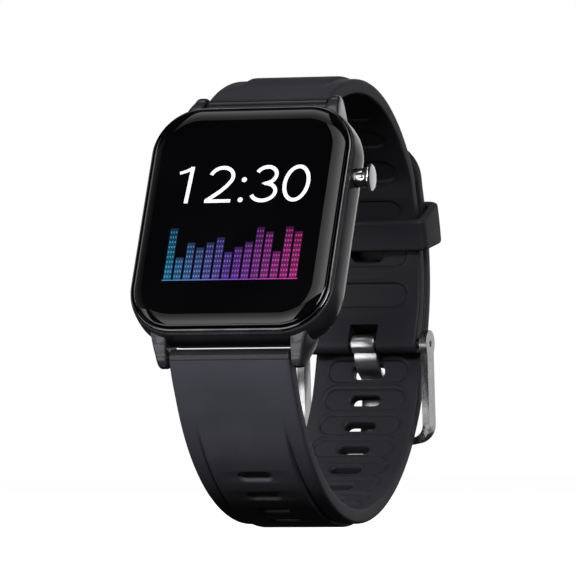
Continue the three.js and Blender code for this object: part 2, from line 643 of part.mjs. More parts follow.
// The tongue curls round the bar, runs inside the long strap, comes out of a slot and lies on the frame.
function buckleTongue() {
  const curl = rodX(1.5, -2, 2, PIVOT.y, PIVOT.z, 24);
  const line = [[61.9, 6.2], [62.45, 5.1], [63.6, 4.2], [65.3, 3.8], [67, 3.55], [68.15, 2.35], [68.95, -0.4],
    [69.75, -3.5], [70.56, -5.93], [71.4, -7.5]];
  return cut(join(curl, ribbon(line, 0.8, -2, 2, 40)), rodX(0.95, -3, 3, PIVOT.y, PIVOT.z, 16));
}

add(strap, 'buckle_frame', buckleFrame(), steel());
add(strap, 'buckle_tongue', buckleTongue(), chrome());

// ---- stand the watch on its loop ----
watch.rotation.x = -RECLINE * DEG;
watch.updateMatrixWorld(true);
const bounds = new THREE.Box3().setFromObject(watch, true);
const middle = bounds.getCenter(new THREE.Vector3());
watch.position.set(-middle.x, -middle.y, -bounds.min.z);
watch.updateMatrixWorld(true);

export default watch;
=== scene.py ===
"""Looks of the square smartwatch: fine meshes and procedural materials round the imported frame."""

import json
import math

import bmesh
import bpy
import numpy as np
from mathutils import Matrix, Vector


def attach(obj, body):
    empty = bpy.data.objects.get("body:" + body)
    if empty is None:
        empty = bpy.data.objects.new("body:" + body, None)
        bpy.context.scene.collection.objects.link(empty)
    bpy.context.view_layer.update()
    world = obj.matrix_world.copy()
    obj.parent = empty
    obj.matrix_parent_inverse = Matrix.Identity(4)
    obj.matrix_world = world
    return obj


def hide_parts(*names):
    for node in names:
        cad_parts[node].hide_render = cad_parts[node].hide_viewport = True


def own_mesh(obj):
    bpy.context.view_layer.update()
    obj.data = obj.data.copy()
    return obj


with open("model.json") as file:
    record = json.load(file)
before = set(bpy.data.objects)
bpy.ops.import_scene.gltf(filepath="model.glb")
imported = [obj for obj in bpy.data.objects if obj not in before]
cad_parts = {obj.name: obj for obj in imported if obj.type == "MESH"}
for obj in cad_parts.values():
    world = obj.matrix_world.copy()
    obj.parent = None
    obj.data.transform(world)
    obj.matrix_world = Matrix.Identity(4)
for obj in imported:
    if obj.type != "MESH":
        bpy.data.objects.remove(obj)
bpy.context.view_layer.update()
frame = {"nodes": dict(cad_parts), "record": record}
record = frame["record"]

# The watch head's own frame in millimetres: X to the crown, Y into the case, Z to 12 o'clock.
MM = 0.001
GLASS_FRONT = -0.8
glass_mount = next(m for m in record["mounts"] if m["name"] == "glass_front")
HEAD_Y = -Vector(glass_mount["axis"]).normalized()
HEAD_X = Vector((1, 0, 0))
HEAD_Z = HEAD_X.cross(HEAD_Y)
HEAD_MIDDLE = Vector(glass_mount["pos_m"]) - HEAD_Y * GLASS_FRONT * MM
HEAD_TURN = Matrix((HEAD_X, HEAD_Y, HEAD_Z)).transposed().to_4x4()
HEAD = Matrix.Translation(HEAD_MIDDLE) @ HEAD_TURN @ Matrix.Scale(MM, 4)

# ---------------------------------------------------------------- camera
AZIMUTH = math.radians(19.84)
ELEVATION = math.radians(-1.3)
ROLL = math.radians(-0.34)
DISTANCE = 1.1886
AIM_RIGHT = 7.38 * MM
AIM_UP = -10.96 * MM
PIXELS_PER_MM = 6.409
SENSOR = 36.0

away = Vector((math.sin(AZIMUTH) * math.cos(ELEVATION), -math.cos(AZIMUTH) * math.cos(ELEVATION),
               math.sin(ELEVATION)))
level_right = Vector((math.cos(AZIMUTH), math.sin(AZIMUTH), 0))
level_up = away.cross(level_right)
right = level_right * math.cos(ROLL) + level_up * math.sin(ROLL)
up = away.cross(right)
aim = HEAD_MIDDLE + right * AIM_RIGHT + up * AIM_UP
camera_data = bpy.data.cameras.new("camera")
camera_data.sensor_width = SENSOR
camera_data.lens = PIXELS_PER_MM / MM * DISTANCE * SENSOR / 576
camera_data.clip_start = 0.05
camera_data.clip_end = 20
camera = bpy.data.objects.new("camera", camera_data)
camera_turn = Matrix((right, up, away)).transposed().to_4x4()
camera.matrix_world = Matrix.Translation(aim + away * DISTANCE) @ camera_turn
bpy.context.scene.collection.objects.link(camera)
bpy.context.scene.camera = camera


# ---------------------------------------------------------------- mesh helpers, all in head millimetres
def make(name, verts, faces):
    mesh = bpy.data.meshes.new(name)
    mesh.from_pydata([tuple(map(float, v)) for v in verts], [], faces)
    clean(mesh)
    obj = bpy.data.objects.new(name, mesh)
    bpy.context.scene.collection.objects.link(obj)
    return obj


def clean(mesh, weld=1e-4):
    bm = bmesh.new()
    bm.from_mesh(mesh)
    bmesh.ops.remove_doubles(bm, verts=bm.verts, dist=weld)
    bmesh.ops.recalc_face_normals(bm, faces=bm.faces)
    bm.to_mesh(mesh)
    bm.free()


def skin(name, loops, closed=False):
    """A tube through equal loops of points, with flat ends, or closed round into a ring."""
    count, rows = len(loops[0]), len(loops)
    faces = []
    for row in range(rows if closed else rows - 1):
        here, there = row * count, ((row + 1) % rows) * count
        for k in range(count):
            j = (k + 1) % count
            faces.append((here + k, here + j, there + j, there + k))
    if not closed:
        faces.append(tuple(reversed(range(count))))
        faces.append(tuple((rows - 1) * count + k for k in range(count)))
    return make(name, np.concatenate([np.asarray(loop, float) for loop in loops]), faces)


def arc(centre, radius, start, end, steps):
    turns = np.radians(np.linspace(start, end, steps + 1))
    return [(centre[0] + radius * math.cos(t), centre[1] + radius * math.sin(t)) for t in turns]


def rounded(half_x, half_z, corner, steps=14):
    corners = [(1, 1, 0), (-1, 1, 90), (-1, -1, 180), (1, -1, 270)]
    points = []
    for sign_x, sign_z, start in corners:
        centre = (sign_x * (half_x - corner), sign_z * (half_z - corner))
        points += arc(centre, corner, start, start + 90, steps)
    return points


def fillet(points, radii, steps=4):
    """Rounds the corners of a closed polygon."""
    made = []
    count = len(points)
    for k, corner in enumerate(points):
        radius = radii[k] if hasattr(radii, "__len__") else radii
        here = np.array(corner, float)
        back = np.array(points[k - 1], float) - here
        ahead = np.array(points[(k + 1) % count], float) - here
        first = here + back * min(0.49, radius / np.linalg.norm(back))
        last = here + ahead * min(0.49, radius / np.linalg.norm(ahead))
        for t in np.linspace(0, 1, steps + 1):
            made.append((1 - t) ** 2 * first + 2 * t * (1 - t) * here + t ** 2 * last)
    return [tuple(p) for p in made]


def slab(name, half_x, half_z, corner, profile, steps=14):
    """A rounded slab whose sides follow a profile of (depth, inset)."""
    loops = []
    for depth, inset in profile:
        outline = rounded(half_x - inset, half_z - inset, max(0.02, corner - inset), steps)
        loops.append([(x, depth, z) for x, z in outline])
    return skin(name, loops)


def plate(name, outline, near, far):
    return skin(name, [[(x, near, z) for x, z in outline], [(x, far, z) for x, z in outline]])


def prism(name, outline, left, right_end):
    return skin(name, [[(left, y, z) for y, z in outline], [(right_end, y, z) for y, z in outline]])


def lathe(name, profile, axis, centre, steps=64, closed=False):
    """A turned piece: profile of (distance along the axis, radius)."""
    loops = []
    for along, radius in profile:
        ring = arc((0, 0), max(radius, 1e-6), 0, 360, steps)[:-1]
        if axis == "x":
            loops.append([(along, centre[0] + a, centre[1] + b) for a, b in ring])
        else:
            loops.append([(centre[0] + a, along, centre[1] + b) for a, b in ring])
    return skin(name, loops, closed)


def smooth_line(points, steps):
    """A uniform Catmull-Rom line through points of any dimension."""
    p = np.asarray(points, float)
    p = np.vstack([2 * p[0] - p[1], p, 2 * p[-1] - p[-2]])
    made = []
    for i in range(1, len(p) - 2):
        for t in np.linspace(0, 1, steps, endpoint=False):
            made.append(0.5 * (2 * p[i] + (p[i + 1] - p[i - 1]) * t
                               + (2 * p[i - 1] - 5 * p[i] + 4 * p[i + 1] - p[i + 2]) * t ** 2
                               + (3 * p[i] - p[i - 1] - 3 * p[i + 1] + p[i + 2]) * t ** 3))
    made.append(p[-2])
    return np.array(made)


def bake(obj):
    bpy.context.view_layer.update()
    graph = bpy.context.evaluated_depsgraph_get()
    mesh = bpy.data.meshes.new_from_object(obj.evaluated_get(graph))
    obj.modifiers.clear()
    obj.data = mesh


def combine(target, tools, operation="DIFFERENCE", solver="MANIFOLD"):
    for tool in tools:
        step = target.modifiers.new("step", "BOOLEAN")
        step.operation = operation
        step.solver = solver
        step.object = tool
    bake(target)
    for tool in tools:
        bpy.data.objects.remove(tool)
    clean(target.data, 1e-3)
    return target


def soften(obj, width, segments=3, angle=35):
    step = obj.modifiers.new("soften", "BEVEL")
    step.width = width
    step.segments = segments
    step.limit_method = "ANGLE"
    step.angle_limit = math.radians(angle)
    step.miter_outer = "MITER_ARC"
    step.use_clamp_overlap = True
    bake(obj)
    return obj


def place(obj, finish_material, body, stands_for=(), sharp=32):
    """Puts a finished piece in the row frame, shades it smooth and gives it its body and material."""
    mesh = obj.data
    bm = bmesh.new()
    bm.from_mesh(mesh)
    bmesh.ops.recalc_face_normals(bm, faces=bm.faces)
    for face in bm.faces:
        face.smooth = True
    for edge in bm.edges:
        edge.smooth = len(edge.link_faces) == 2 and edge.calc_face_angle(0) < math.radians(sharp)
    bm.to_mesh(mesh)
    bm.free()
    mesh.transform(HEAD)
    mesh.materials.clear()
    mesh.materials.append(finish_material)
    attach(obj, body)
    if stands_for:
        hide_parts(*stands_for)
    return obj


# ---------------------------------------------------------------- materials
def surface(name, dark, light, rough=(0.3, 0.4), metallic=0.0, grain=2500.0, grain_depth=0.0, coarse=250.0,
            streak=None, **sockets):
    """Colour that drifts between two shades, uneven roughness and a fine grain, stretched by streak."""
    made = bpy.data.materials.new(name)
    made.use_nodes = True
    nodes, links = made.node_tree.nodes, made.node_tree.links
    shader = nodes["Principled BSDF"]
    shader.inputs["Metallic"].default_value = metallic
    for socket, value in sockets.items():
        shader.inputs[socket.replace("_", " ")].default_value = value
    where = nodes.new("ShaderNodeTexCoord").outputs["Object"]
    if streak:
        stretch = nodes.new("ShaderNodeMapping")
        stretch.inputs["Scale"].default_value = streak
        links.new(where, stretch.inputs["Vector"])
        where_fine = stretch.outputs["Vector"]
    else:
        where_fine = where
    drift = nodes.new("ShaderNodeTexNoise")
    drift.inputs["Scale"].default_value = coarse
    drift.inputs["Detail"].default_value = 3
    links.new(where, drift.inputs["Vector"])
    fine = nodes.new("ShaderNodeTexNoise")
    fine.inputs["Scale"].default_value = grain
    fine.inputs["Detail"].default_value = 2
    links.new(where_fine, fine.inputs["Vector"])
    colour = nodes.new("ShaderNodeValToRGB")
    colour.color_ramp.elements[0].position = 0.35
    colour.color_ramp.elements[1].position = 0.65
    colour.color_ramp.elements[0].color = (*dark, 1)
    colour.color_ramp.elements[1].color = (*light, 1)
    links.new(drift.outputs["Fac"], colour.inputs["Fac"])
    roughness = nodes.new("ShaderNodeMapRange")
    roughness.inputs["From Min"].default_value = 0.3
    roughness.inputs["From Max"].default_value = 0.7
    roughness.inputs["To Min"].default_value = rough[0]
    roughness.inputs["To Max"].default_value = rough[1]
    links.new(fine.outputs["Fac"], roughness.inputs["Value"])
    links.new(roughness.outputs["Result"], shader.inputs["Roughness"])
    links.new(colour.outputs["Color"], shader.inputs["Base Color"])
    if grain_depth:
        bump = nodes.new("ShaderNodeBump")
        bump.inputs["Strength"].default_value = 1.0
        bump.inputs["Distance"].default_value = grain_depth
        links.new(fine.outputs["Fac"], bump.inputs["Height"])
        links.new(bump.outputs["Normal"], shader.inputs["Normal"])
    return made


def ramp_along(nodes, links, value, low, high, stops):
    """A colour ramp over a coordinate: stops are (place, colour)."""
    share = nodes.new("ShaderNodeMapRange")
    share.inputs["From Min"].default_value = low
    share.inputs["From Max"].default_value = high
    links.new(value, share.inputs["Value"])
    ramp = nodes.new("ShaderNodeValToRGB")
    links.new(share.outputs["Result"], ramp.inputs["Fac"])
    points = ramp.color_ramp.elements
    while len(points) < len(stops):
        points.new(0.5)
    for point, (_, colour) in zip(points, stops):
        point.color = (*colour, 1)
    for k in range(len(stops) - 1, -1, -1):
        points[k].position = (stops[k][0] - stops[0][0]) / (stops[-1][0] - stops[0][0])
    return ramp.outputs["Color"]


def glow(name, across, upward, strength, grain=600.0):
    """Light from the display: colours across by X and brightness up by Z, in head millimetres."""
    made = bpy.data.materials.new(name)
    made.use_nodes = True
    nodes, links = made.node_tree.nodes, made.node_tree.links
    shader = nodes["Principled BSDF"]
    shader.inputs["Base Color"].default_value = (0.00015, 0.00015, 0.0002, 1)
    shader.inputs["Roughness"].default_value = 0.022
    shader.inputs["IOR"].default_value = 1.55
    shader.inputs["Emission Strength"].default_value = strength
    where = nodes.new("ShaderNodeTexCoord").outputs["Object"]
    split = nodes.new("ShaderNodeSeparateXYZ")
    links.new(where, split.inputs["Vector"])
    xs, zs = [x for x, _ in across], [z for z, _ in upward]
    ends = [HEAD @ Vector((x, GLASS_FRONT, z)) for x, z in ((xs[0], zs[0]), (xs[-1], zs[-1]))]
    hue = ramp_along(nodes, links, split.outputs["X"], ends[0].x, ends[1].x, across)
    greys = [(z, (v, v, v)) for z, v in upward]
    level = ramp_along(nodes, links, split.outputs["Z"], ends[0].z, ends[1].z, greys)
    flicker = nodes.new("ShaderNodeTexNoise")
    flicker.inputs["Scale"].default_value = grain
    links.new(where, flicker.inputs["Vector"])
    uneven = nodes.new("ShaderNodeMapRange")
    uneven.inputs["To Min"].default_value = 0.6
    uneven.inputs["To Max"].default_value = 1.4
    links.new(flicker.outputs["Fac"], uneven.inputs["Value"])
    first = nodes.new("ShaderNodeVectorMath")
    first.operation = "MULTIPLY"
    links.new(hue, first.inputs[0])
    links.new(level, first.inputs[1])
    scaled = nodes.new("ShaderNodeVectorMath")
    scaled.operation = "SCALE"
    links.new(first.outputs["Vector"], scaled.inputs[0])
    links.new(uneven.outputs["Result"], scaled.inputs["Scale"])
    links.new(scaled.outputs["Vector"], shader.inputs["Emission Color"])
    return made


BLACK_METAL = surface("black_metal", (0.008, 0.008, 0.0095), (0.013, 0.013, 0.015), (0.2, 0.27), 0.4,
                      coarse=180, grain=9000, Coat_Weight=0.35, Coat_Roughness=0.08)
DARK_MIRROR = surface("dark_mirror", (0.10, 0.10, 0.11), (0.16, 0.16, 0.17), (0.06, 0.11), 1.0, coarse=300)
GLASS = surface("black_glass", (0.0001, 0.0001, 0.00015), (0.0002, 0.0002, 0.0003), (0.015, 0.03), 0.0,
                coarse=90, IOR=1.55)
RUBBER = surface("strap_rubber", (0.0078, 0.0078, 0.0098), (0.0088, 0.0088, 0.011), (0.48, 0.58), 0.0,
                 coarse=140, grain=7000, grain_depth=3e-6, Specular_IOR_Level=0.3)
# A glossier copy of the strap rubber with a much darker colour. The gloss is a real finish; the darker colour
# is painted shade for the gap between the case and the strap.
SHADED_GLOSS_RUBBER = surface("shaded_gloss_rubber", (0.0015, 0.0015, 0.0018), (0.0025, 0.0025, 0.003), (0.2, 0.28), 0.0,
                       coarse=200, grain=7000, Specular_IOR_Level=0.4)
CHROME = surface("chrome", (0.78, 0.78, 0.8), (0.86, 0.86, 0.87), (0.07, 0.1), 1.0, coarse=300)
SATIN_CHROME = surface("satin_chrome", (0.82, 0.82, 0.84), (0.9, 0.9, 0.91), (0.3, 0.38), 1.0, coarse=300)
BRUSHED = surface("brushed_steel", (0.6, 0.6, 0.61), (0.7, 0.7, 0.71), (0.24, 0.32), 1.0, coarse=500,
                  grain=5000, grain_depth=4e-7, streak=(1, 1, 0.08))
BLACK_PLASTIC = surface("black_plastic", (0.012, 0.012, 0.013), (0.02, 0.02, 0.021), (0.38, 0.52), 0.0,
                        coarse=200, grain=5200, grain_depth=5e-6)
WHITE_PLASTIC = surface("white_plastic", (0.62, 0.6, 0.55), (0.72, 0.7, 0.65), (0.4, 0.5), 0.0,
                        grain_depth=2e-6)
BOARD = surface("circuit_board", (0.015, 0.09, 0.05), (0.03, 0.14, 0.08), (0.3, 0.45), 0.0, coarse=900)
FOIL = surface("foil", (0.3, 0.31, 0.33), (0.46, 0.47, 0.5), (0.25, 0.4), 0.9, coarse=350, grain_depth=3e-6)
GOLD = surface("gold_contact", (0.72, 0.48, 0.16), (0.86, 0.62, 0.26), (0.12, 0.22), 1.0, coarse=600)
LED_GREEN = surface("led_green", (0.01, 0.05, 0.02), (0.02, 0.1, 0.04), (0.1, 0.2), 0.0, coarse=1200,
                    Coat_Weight=1.0, Coat_Roughness=0.03)
LED_DARK = surface("led_dark", (0.01, 0.008, 0.02), (0.02, 0.014, 0.035), (0.1, 0.2), 0.0, coarse=1200,
                   Coat_Weight=1.0, Coat_Roughness=0.03)

SLOT_LOOK = {"case_metal": BLACK_METAL, "dark_mirror": DARK_MIRROR, "cover_glass": GLASS, "display": GLASS,
             "steel": BRUSHED, "chrome": CHROME, "strap_rubber": RUBBER, "black_plastic": BLACK_PLASTIC,
             "white_plastic": WHITE_PLASTIC, "circuit_board": BOARD, "foil": FOIL, "gold_contact": GOLD}
for row in record["subparts"]:
    node = frame["nodes"][row["node"]]
    node.data.materials.clear()
    node.data.materials.append(SLOT_LOOK[row["material_slot"]])

# ---------------------------------------------------------------- case
CROWN = (3.0, 8.05)
BAR_Y, BAR_Z = 5.0, 21.7
LUG_GAP = 10.3
STEPS = 20


def lug_outline():
    curve = [(1.6, -18.2)]
    start, middle, end = np.array((1.6, -18.2)), np.array((2, -20.6)), np.array((BAR_Y - 1.7, -BAR_Z - 0.4))
    for t in np.linspace(0.1, 1, 10):
        curve.append(tuple((1 - t) ** 2 * start + 2 * t * (1 - t) * middle + t ** 2 * end))
    curve = curve[:-1] + arc((BAR_Y, -BAR_Z), 1.75, 180 + 14.3, 360 - 17.2, 20)
    return curve + [(7.6, -19.2), (7.2, -17)]


def lug(side, end):
    arm = prism("arm", lug_outline(), LUG_GAP, 13.4)
    wedge = prism("wedge", [(-8, -40), (12, -40), (12, 0), (-8, 0)], -3, 3)
    wedge.data.transform(Matrix.Translation((12.95, 0, -18.6)) @ Matrix.Rotation(math.radians(13.4), 4, "Y")
                         @ Matrix.Translation((3, 2, 13)))
    combine(arm, [wedge])
    soften(arm, 0.35, 3, 40)
    arm.data.transform(Matrix.Diagonal((side, 1, end, 1)))
    clean(arm.data)
    return arm


flank = smooth_line([(0.58, 0.42), (0.85, 0.26), (2, 0.1), (3.2, 0), (4.6, 0.02), (6.1, 0.4), (7.4, 1.15),
                     (8.6, 2.2)], 5)
case = slab("case_body", 17.1, 19.95, 8.35, [tuple(p) for p in flank], STEPS)
combine(case, [lug(side, end) for side in (1, -1) for end in (1, -1)], "UNION")
SCREWS = [(x, z) for x in (-11.4, 11.4) for z in (-14.2, 14.2)]
combine(case, [
    plate("front_room", rounded(16.3, 19.15, 7.55, STEPS), -1, 0.95),
    plate("main_room", rounded(14.8, 17.65, 6.1, STEPS), 0.5, 5.5),
    plate("back_room", rounded(12.2, 15, 6, STEPS), 5, 9),
    plate("cover_room", rounded(13.9, 16.75, 4.3, STEPS), 7.4, 10),
    lathe("crown_hole", [(14, 1.5), (17.0, 1.5), (17.1, 1.6), (17.6, 1.8), (19, 1.8)], "x", CROWN, 48),
    lathe("mic_hole", [(-19, 0.4), (-14, 0.4)], "x", (3.2, -6), 24),
    *[lathe("screw_hole", [(6.4, 0.45), (7.5, 0.45)], "y", place_xz, 20) for place_xz in SCREWS],
    *[lathe("bar_hole", [(side * (LUG_GAP - 1), 0.6), (side * 11.35, 0.6)], "x", (BAR_Y, end * BAR_Z), 24)
      for side in (1, -1) for end in (1, -1)],
])
place(case, BLACK_METAL, "watch", ["case_shell"], 28)

# Bright ring round the glass.
section = [(0.5, 0.0), (0.3, 0.0)]
section += [(0.3 - 0.32 * math.sin(t), 0.36 * (1 - math.cos(t))) for t in np.linspace(0.15, math.pi / 2, 8)]
section += [(-0.02, 0.44), (0.06, 0.5), (0.5, 0.5)]
ring_loops = []
for depth, inset in section:
    outline = rounded(16.64 - inset, 19.49 - inset, 7.89 - inset, 24)
    ring_loops.append([(x, depth, z) for x, z in outline])
place(skin("bezel_rim", ring_loops, True), DARK_MIRROR, "watch", ["bezel_ring"], 40)

# Domed cover glass: its edge rolls off like a quarter of an ellipse.
roll = [(-0.05 - 0.75 * math.cos(t), 2.9 * (1 - math.sin(t))) for t in np.linspace(0, math.pi / 2, 22)]
glass = slab("cover_glass", 16, 18.85, 7.25, roll + [(0.1, 0), (0.5, 0.0), (0.55, 0.05)], 28)
place(glass, GLASS, "watch", ["glass_lens"], 40)

# ---------------------------------------------------------------- back
edge = [(7.75, 0), (8.72, 0), (8.8, 0.03), (8.87, 0.1), (8.9, 0.2)]
cover = slab("back_plate", 13.6, 16.45, 4, edge, STEPS)
plateau = smooth_line([(8.8, 11.5), (8.9, 11.2), (9.2, 10.85), (9.42, 10.45), (9.5, 10.1)], 5)
combine(cover, [lathe("plateau", [(8.0, 0), (8.0, 11.5), *map(tuple, plateau), (9.5, 0)], "y", (0, 0), 96)],
        "UNION")
groove = [(10, 7.6), (9.42, 7.6), (9.3, 7.72), (9.3, 7.98), (9.42, 8.1), (10, 8.1)]
combine(cover, [
    lathe("window_room", [(7, 5.2), (9.38, 5.2), (9.52, 5.34), (10, 5.34)], "y", (0, 0), 72),
    lathe("ring_groove", groove, "y", (0, 0), 96, True),
    *[lathe("head_room", [(8.35, 1.05), (8.8, 1.05), (9, 1.25), (10, 1.25)], "y", at, 32) for at in SCREWS],
    *[lathe("shank_room", [(7, 0.6), (10, 0.6)], "y", at, 24) for at in SCREWS],
    *[lathe("pin_room", [(7, 1.05), (8.8, 1.05), (9, 1.2), (10, 1.2)], "y", (x, -12.6), 32)
      for x in (-1.5, 1.5)],
])
place(cover, BLACK_PLASTIC, "watch", ["back_cover"], 30)

dome = [(8.15, 0), (8.15, 4.95), (9.5, 4.95)]
dome += [tuple(p) for p in smooth_line([(9.5, 4.95), (9.68, 4.8), (9.8, 4.5), (9.93, 3.7), (10, 2.8),
                                        (10.06, 1.4), (10.08, 0)], 4)][1:]
place(lathe("sensor_dome", dome, "y", (0, 0), 96), GLASS, "watch", ["sensor_window"])
for i, x in enumerate((-2.6, 2.6)):
    spot = lathe(f"sensor_light_{i + 1}", [(9.7, 0), (9.7, 0.9), (10.015, 0.9), (10.03, 0.86), (10.03, 0)],
                 "y", (x, 0), 40)
    place(spot, LED_GREEN, "watch")
eye = slab("sensor_eye", 1.05, 1.25, 0.35, [(9.7, 0), (10.09, 0), (10.1, 0.03)], 8)
place(eye, LED_DARK, "watch")

for i, (x, z) in enumerate([(11.4, 14.2), (-11.4, 14.2), (-11.4, -14.2), (11.4, -14.2)]):
    head = [(6.55, 0), (6.55, 0.3), (6.63, 0.38), (8.42, 0.38), (8.42, 0.84), (8.46, 0.88), (8.76, 0.88),
            (8.82, 0.82), (8.85, 0.7), (8.85, 0)]
    screw = lathe("screw_%d" % (i + 1), head, "y", (x, z), 48)
    cross = [plate("slot", [(x + a * w, z + b * h) for a, b in ((-1, -1), (1, -1), (1, 1), (-1, 1))], 8.58, 9)
             for w, h in ((0.13, 0.52), (0.52, 0.13))]
    combine(screw, cross)
    place(screw, BRUSHED, "watch", [f"case_screw_{i + 1}"])
for i, x in enumerate((-1.5, 1.5)):
    pin = [(6.8, 0), (6.8, 0.7), (7.2, 0.7), (7.2, 1.3), (7.6, 1.3), (7.6, 0.9), (8.78, 0.9), (8.86, 0.87),
           (8.92, 0.8), (8.95, 0.7), (8.95, 0.45), (8.9, 0.35), (8.9, 0)]
    place(lathe(f"charge_pin_{i + 1}", pin, "y", (x, -12.6), 48), GOLD, "watch", [f"charge_contact_{i + 1}"])

# ---------------------------------------------------------------- crown
barrel = [(17.85, 0.75), (17.85, 1.38), (17.4, 1.38), (17.4, 1.44), (17.46, 1.5), (17.7, 1.52), (18.15, 1.56)]
flare = smooth_line([(18.15, 1.56), (18.5, 1.6), (18.85, 1.68), (19.05, 1.78), (19.2, 1.97), (19.33, 2.11),
                     (19.46, 2.15), (19.6, 2.09), (19.7, 1.85), (19.76, 1.4), (19.8, 0.8), (19.82, 0)], 6)
cap = barrel + [tuple(p) for p in flare[1:]] + [(18.6, 0), (18.6, 0.75)]
place(lathe("crown_knob", cap, "x", CROWN, 96, False), CHROME, "crown", ["crown_cap"], 40)
shaft = [(13.3, 0), (13.3, 0.52), (14.15, 0.52), (14.15, 0.36), (14.55, 0.36), (14.55, 0.52), (15.2, 0.52),
         (15.2, 0.4), (15.55, 0.4), (15.55, 0.52), (18.55, 0.52), (18.55, 0)]
place(lathe("crown_stem", shaft, "x", CROWN, 48), BRUSHED, "crown", ["crown_shaft"])
sleeve = [(14.95, 0.75), (14.95, 1.3), (17.32, 1.3), (17.4, 1.22), (17.4, 1.12), (15.95, 1.12), (15.95, 0.75)]
place(lathe("crown_sleeve", sleeve, "x", CROWN, 48, True), BRUSHED, "watch", ["crown_tube"])

# ---------------------------------------------------------------- strap lines
LOOP_Y, LOOP_Z, LOOP_R = 31.3, 0.35, 34.2
FAR_Y, FAR_Z, FAR_R = 34.95, 6.84, 26.0
THICK, SWELL, RAISE = 2.4, 0.8, 0.5
WIDTH, END_WIDTH = 20.0, 18.4
PIVOT_Y, PIVOT_Z = FAR_Y + FAR_R, FAR_Z
TAIL_GAP = 3.2
END_R = (THICK + SWELL) / 2
BARREL_R = 1.3


def smoothstep(x, low, high):
    t = min(1.0, max(0.0, (x - low) / (high - low)))
    return t * t * (3 - 2 * t)


def spread(start, end, step):
    return np.linspace(start, end, math.ceil(abs(end - start) / step) + 1)


def about(y, z, radius, turn):
    return np.array((y + radius * math.cos(math.radians(turn)), z + radius * math.sin(math.radians(turn))))


class Line:
    """A centripetal Catmull-Rom line in Y and Z, measured along its length."""

    def __init__(self, points):
        p = [2 * points[0] - points[1], *points, 2 * points[-1] - points[-2]]
        made = []
        for a, b, c, d in zip(p, p[1:], p[2:], p[3:]):
            gaps = [math.sqrt(np.linalg.norm(e - f)) for e, f in ((b, a), (c, b), (d, c))]
            t1 = ((b - a) / gaps[0] - (c - a) / (gaps[0] + gaps[1]) + (c - b) / gaps[1]) * gaps[1]
            t2 = ((c - b) / gaps[1] - (d - b) / (gaps[1] + gaps[2]) + (d - c) / gaps[2]) * gaps[1]
            for t in np.linspace(0, 1, 120, endpoint=False):
                made.append(b + t1 * t + (3 * c - 3 * b - 2 * t1 - t2) * t ** 2
                            + (2 * b - 2 * c + t1 + t2) * t ** 3)
        made.append(p[-2])
        self.points = np.array(made)
        run = np.concatenate([[0], np.cumsum(np.linalg.norm(np.diff(self.points, axis=0), axis=1))])
        self.length = run[-1]
        self.shares = run / self.length

    def at(self, share):
        return np.array([np.interp(share, self.shares, self.points[:, k]) for k in (0, 1)])

    def frame(self, share):
        """The point, the direction along the line and the direction away from the wrist."""
        ahead = self.at(min(1, share + 0.002)) - self.at(max(0, share - 0.002))
        along = ahead / np.linalg.norm(ahead)
        out = np.array((-along[1], along[0]))
        point = self.at(share)
        if out @ (point - np.array((LOOP_Y, 0.0))) < 0:
            out = -out
        return point, along, out


short_line = Line([np.array((BAR_Y, BAR_Z)), *[about(LOOP_Y, LOOP_Z, LOOP_R, t) for t in spread(132, 62, 8)],
                   *[about(FAR_Y, FAR_Z, FAR_R, t) for t in spread(55, 0, 8)]])
long_line = Line([np.array((BAR_Y, -BAR_Z)), *[about(LOOP_Y, LOOP_Z, LOOP_R, t) for t in spread(-132, -2, 8)],
                  *[about(FAR_Y, FAR_Z, FAR_R + TAIL_GAP + 1.1 * smoothstep(t, 50, 60), t)
                    for t in spread(12, 74, 7)]])


def strap_section(width, raise_by, thick):
    """The rubber across: flat inside, a raised middle band with a groove each side outside, soft corners."""
    half, band = width / 2, width / 2 * 0.7
    inner, outer = -thick / 2, thick / 2
    groove = raise_by / RAISE
    side = [(half, inner), (half, outer), (band + 0.62, outer + 0.02), (band + 0.3, outer - 0.42 * groove),
            (band + 0.02, outer + raise_by)]
    radii = [min(0.5, half * 0.3), min(0.6, half * 0.3), 0.18, 0.1, 0.3]
    points = side + [(-x, t) for x, t in reversed(side)]
    return fillet(points, radii + radii[::-1], 4)


def strap_body(name, line, shares, shape_at):
    loops = []
    for share in shares:
        point, _, out = line.frame(share)
        section = strap_section(*shape_at(share))
        loops.append([(x, point[0] + out[0] * t, point[1] + out[1] * t) for x, t in section])
    return skin(name, loops)


def pill(line, share, width, height, profile, steps=10):
    """A pill-shaped cutter across the rubber: profile of (height over the middle line, how much wider)."""
    point, along, out = line.frame(share)
    loops = []
    for level, wider in profile:
        end = height / 2 + wider
        reach = width / 2 - height / 2
        outline = arc((reach, 0), end, -90, 90, steps) + arc((-reach, 0), end, 90, 270, steps)
        loops.append([(x, *(point + along * a + out * level)) for x, a in outline])
    return skin("pill", loops)


def lips(low, high, radius):
    """A through-hole's profile with rounded lips at both faces."""
    turns = np.linspace(0, math.pi / 2, 6)
    lower = [(low + radius * (1 - math.cos(t)), radius * (1 - math.sin(t))) for t in turns]
    upper = [(high - radius * (1 - math.cos(t)), radius * (1 - math.sin(t))) for t in turns[::-1]]
    return [(low - 1.5, radius), *lower, *upper, (high + 1.5, radius)]


def bar_room(half, y, z, radius=0.95):
    return lathe("bar_room", [(-half, radius), (half, radius)], "x", (y, z), 32)


def end_barrel(half, y, z, radius=END_R):
    """The round end of a strap half, with soft edges."""
    turns = np.linspace(0, math.pi / 2, 5)
    rim = [(half - 0.35 * (1 - math.cos(t)), radius - 0.35 * (1 - math.sin(t))) for t in turns]
    profile = [(-half, 0), *[(-x, r) for x, r in rim], *rim[::-1], (half, 0)]
    return lathe("end_barrel", profile, "x", (y, z), 48)


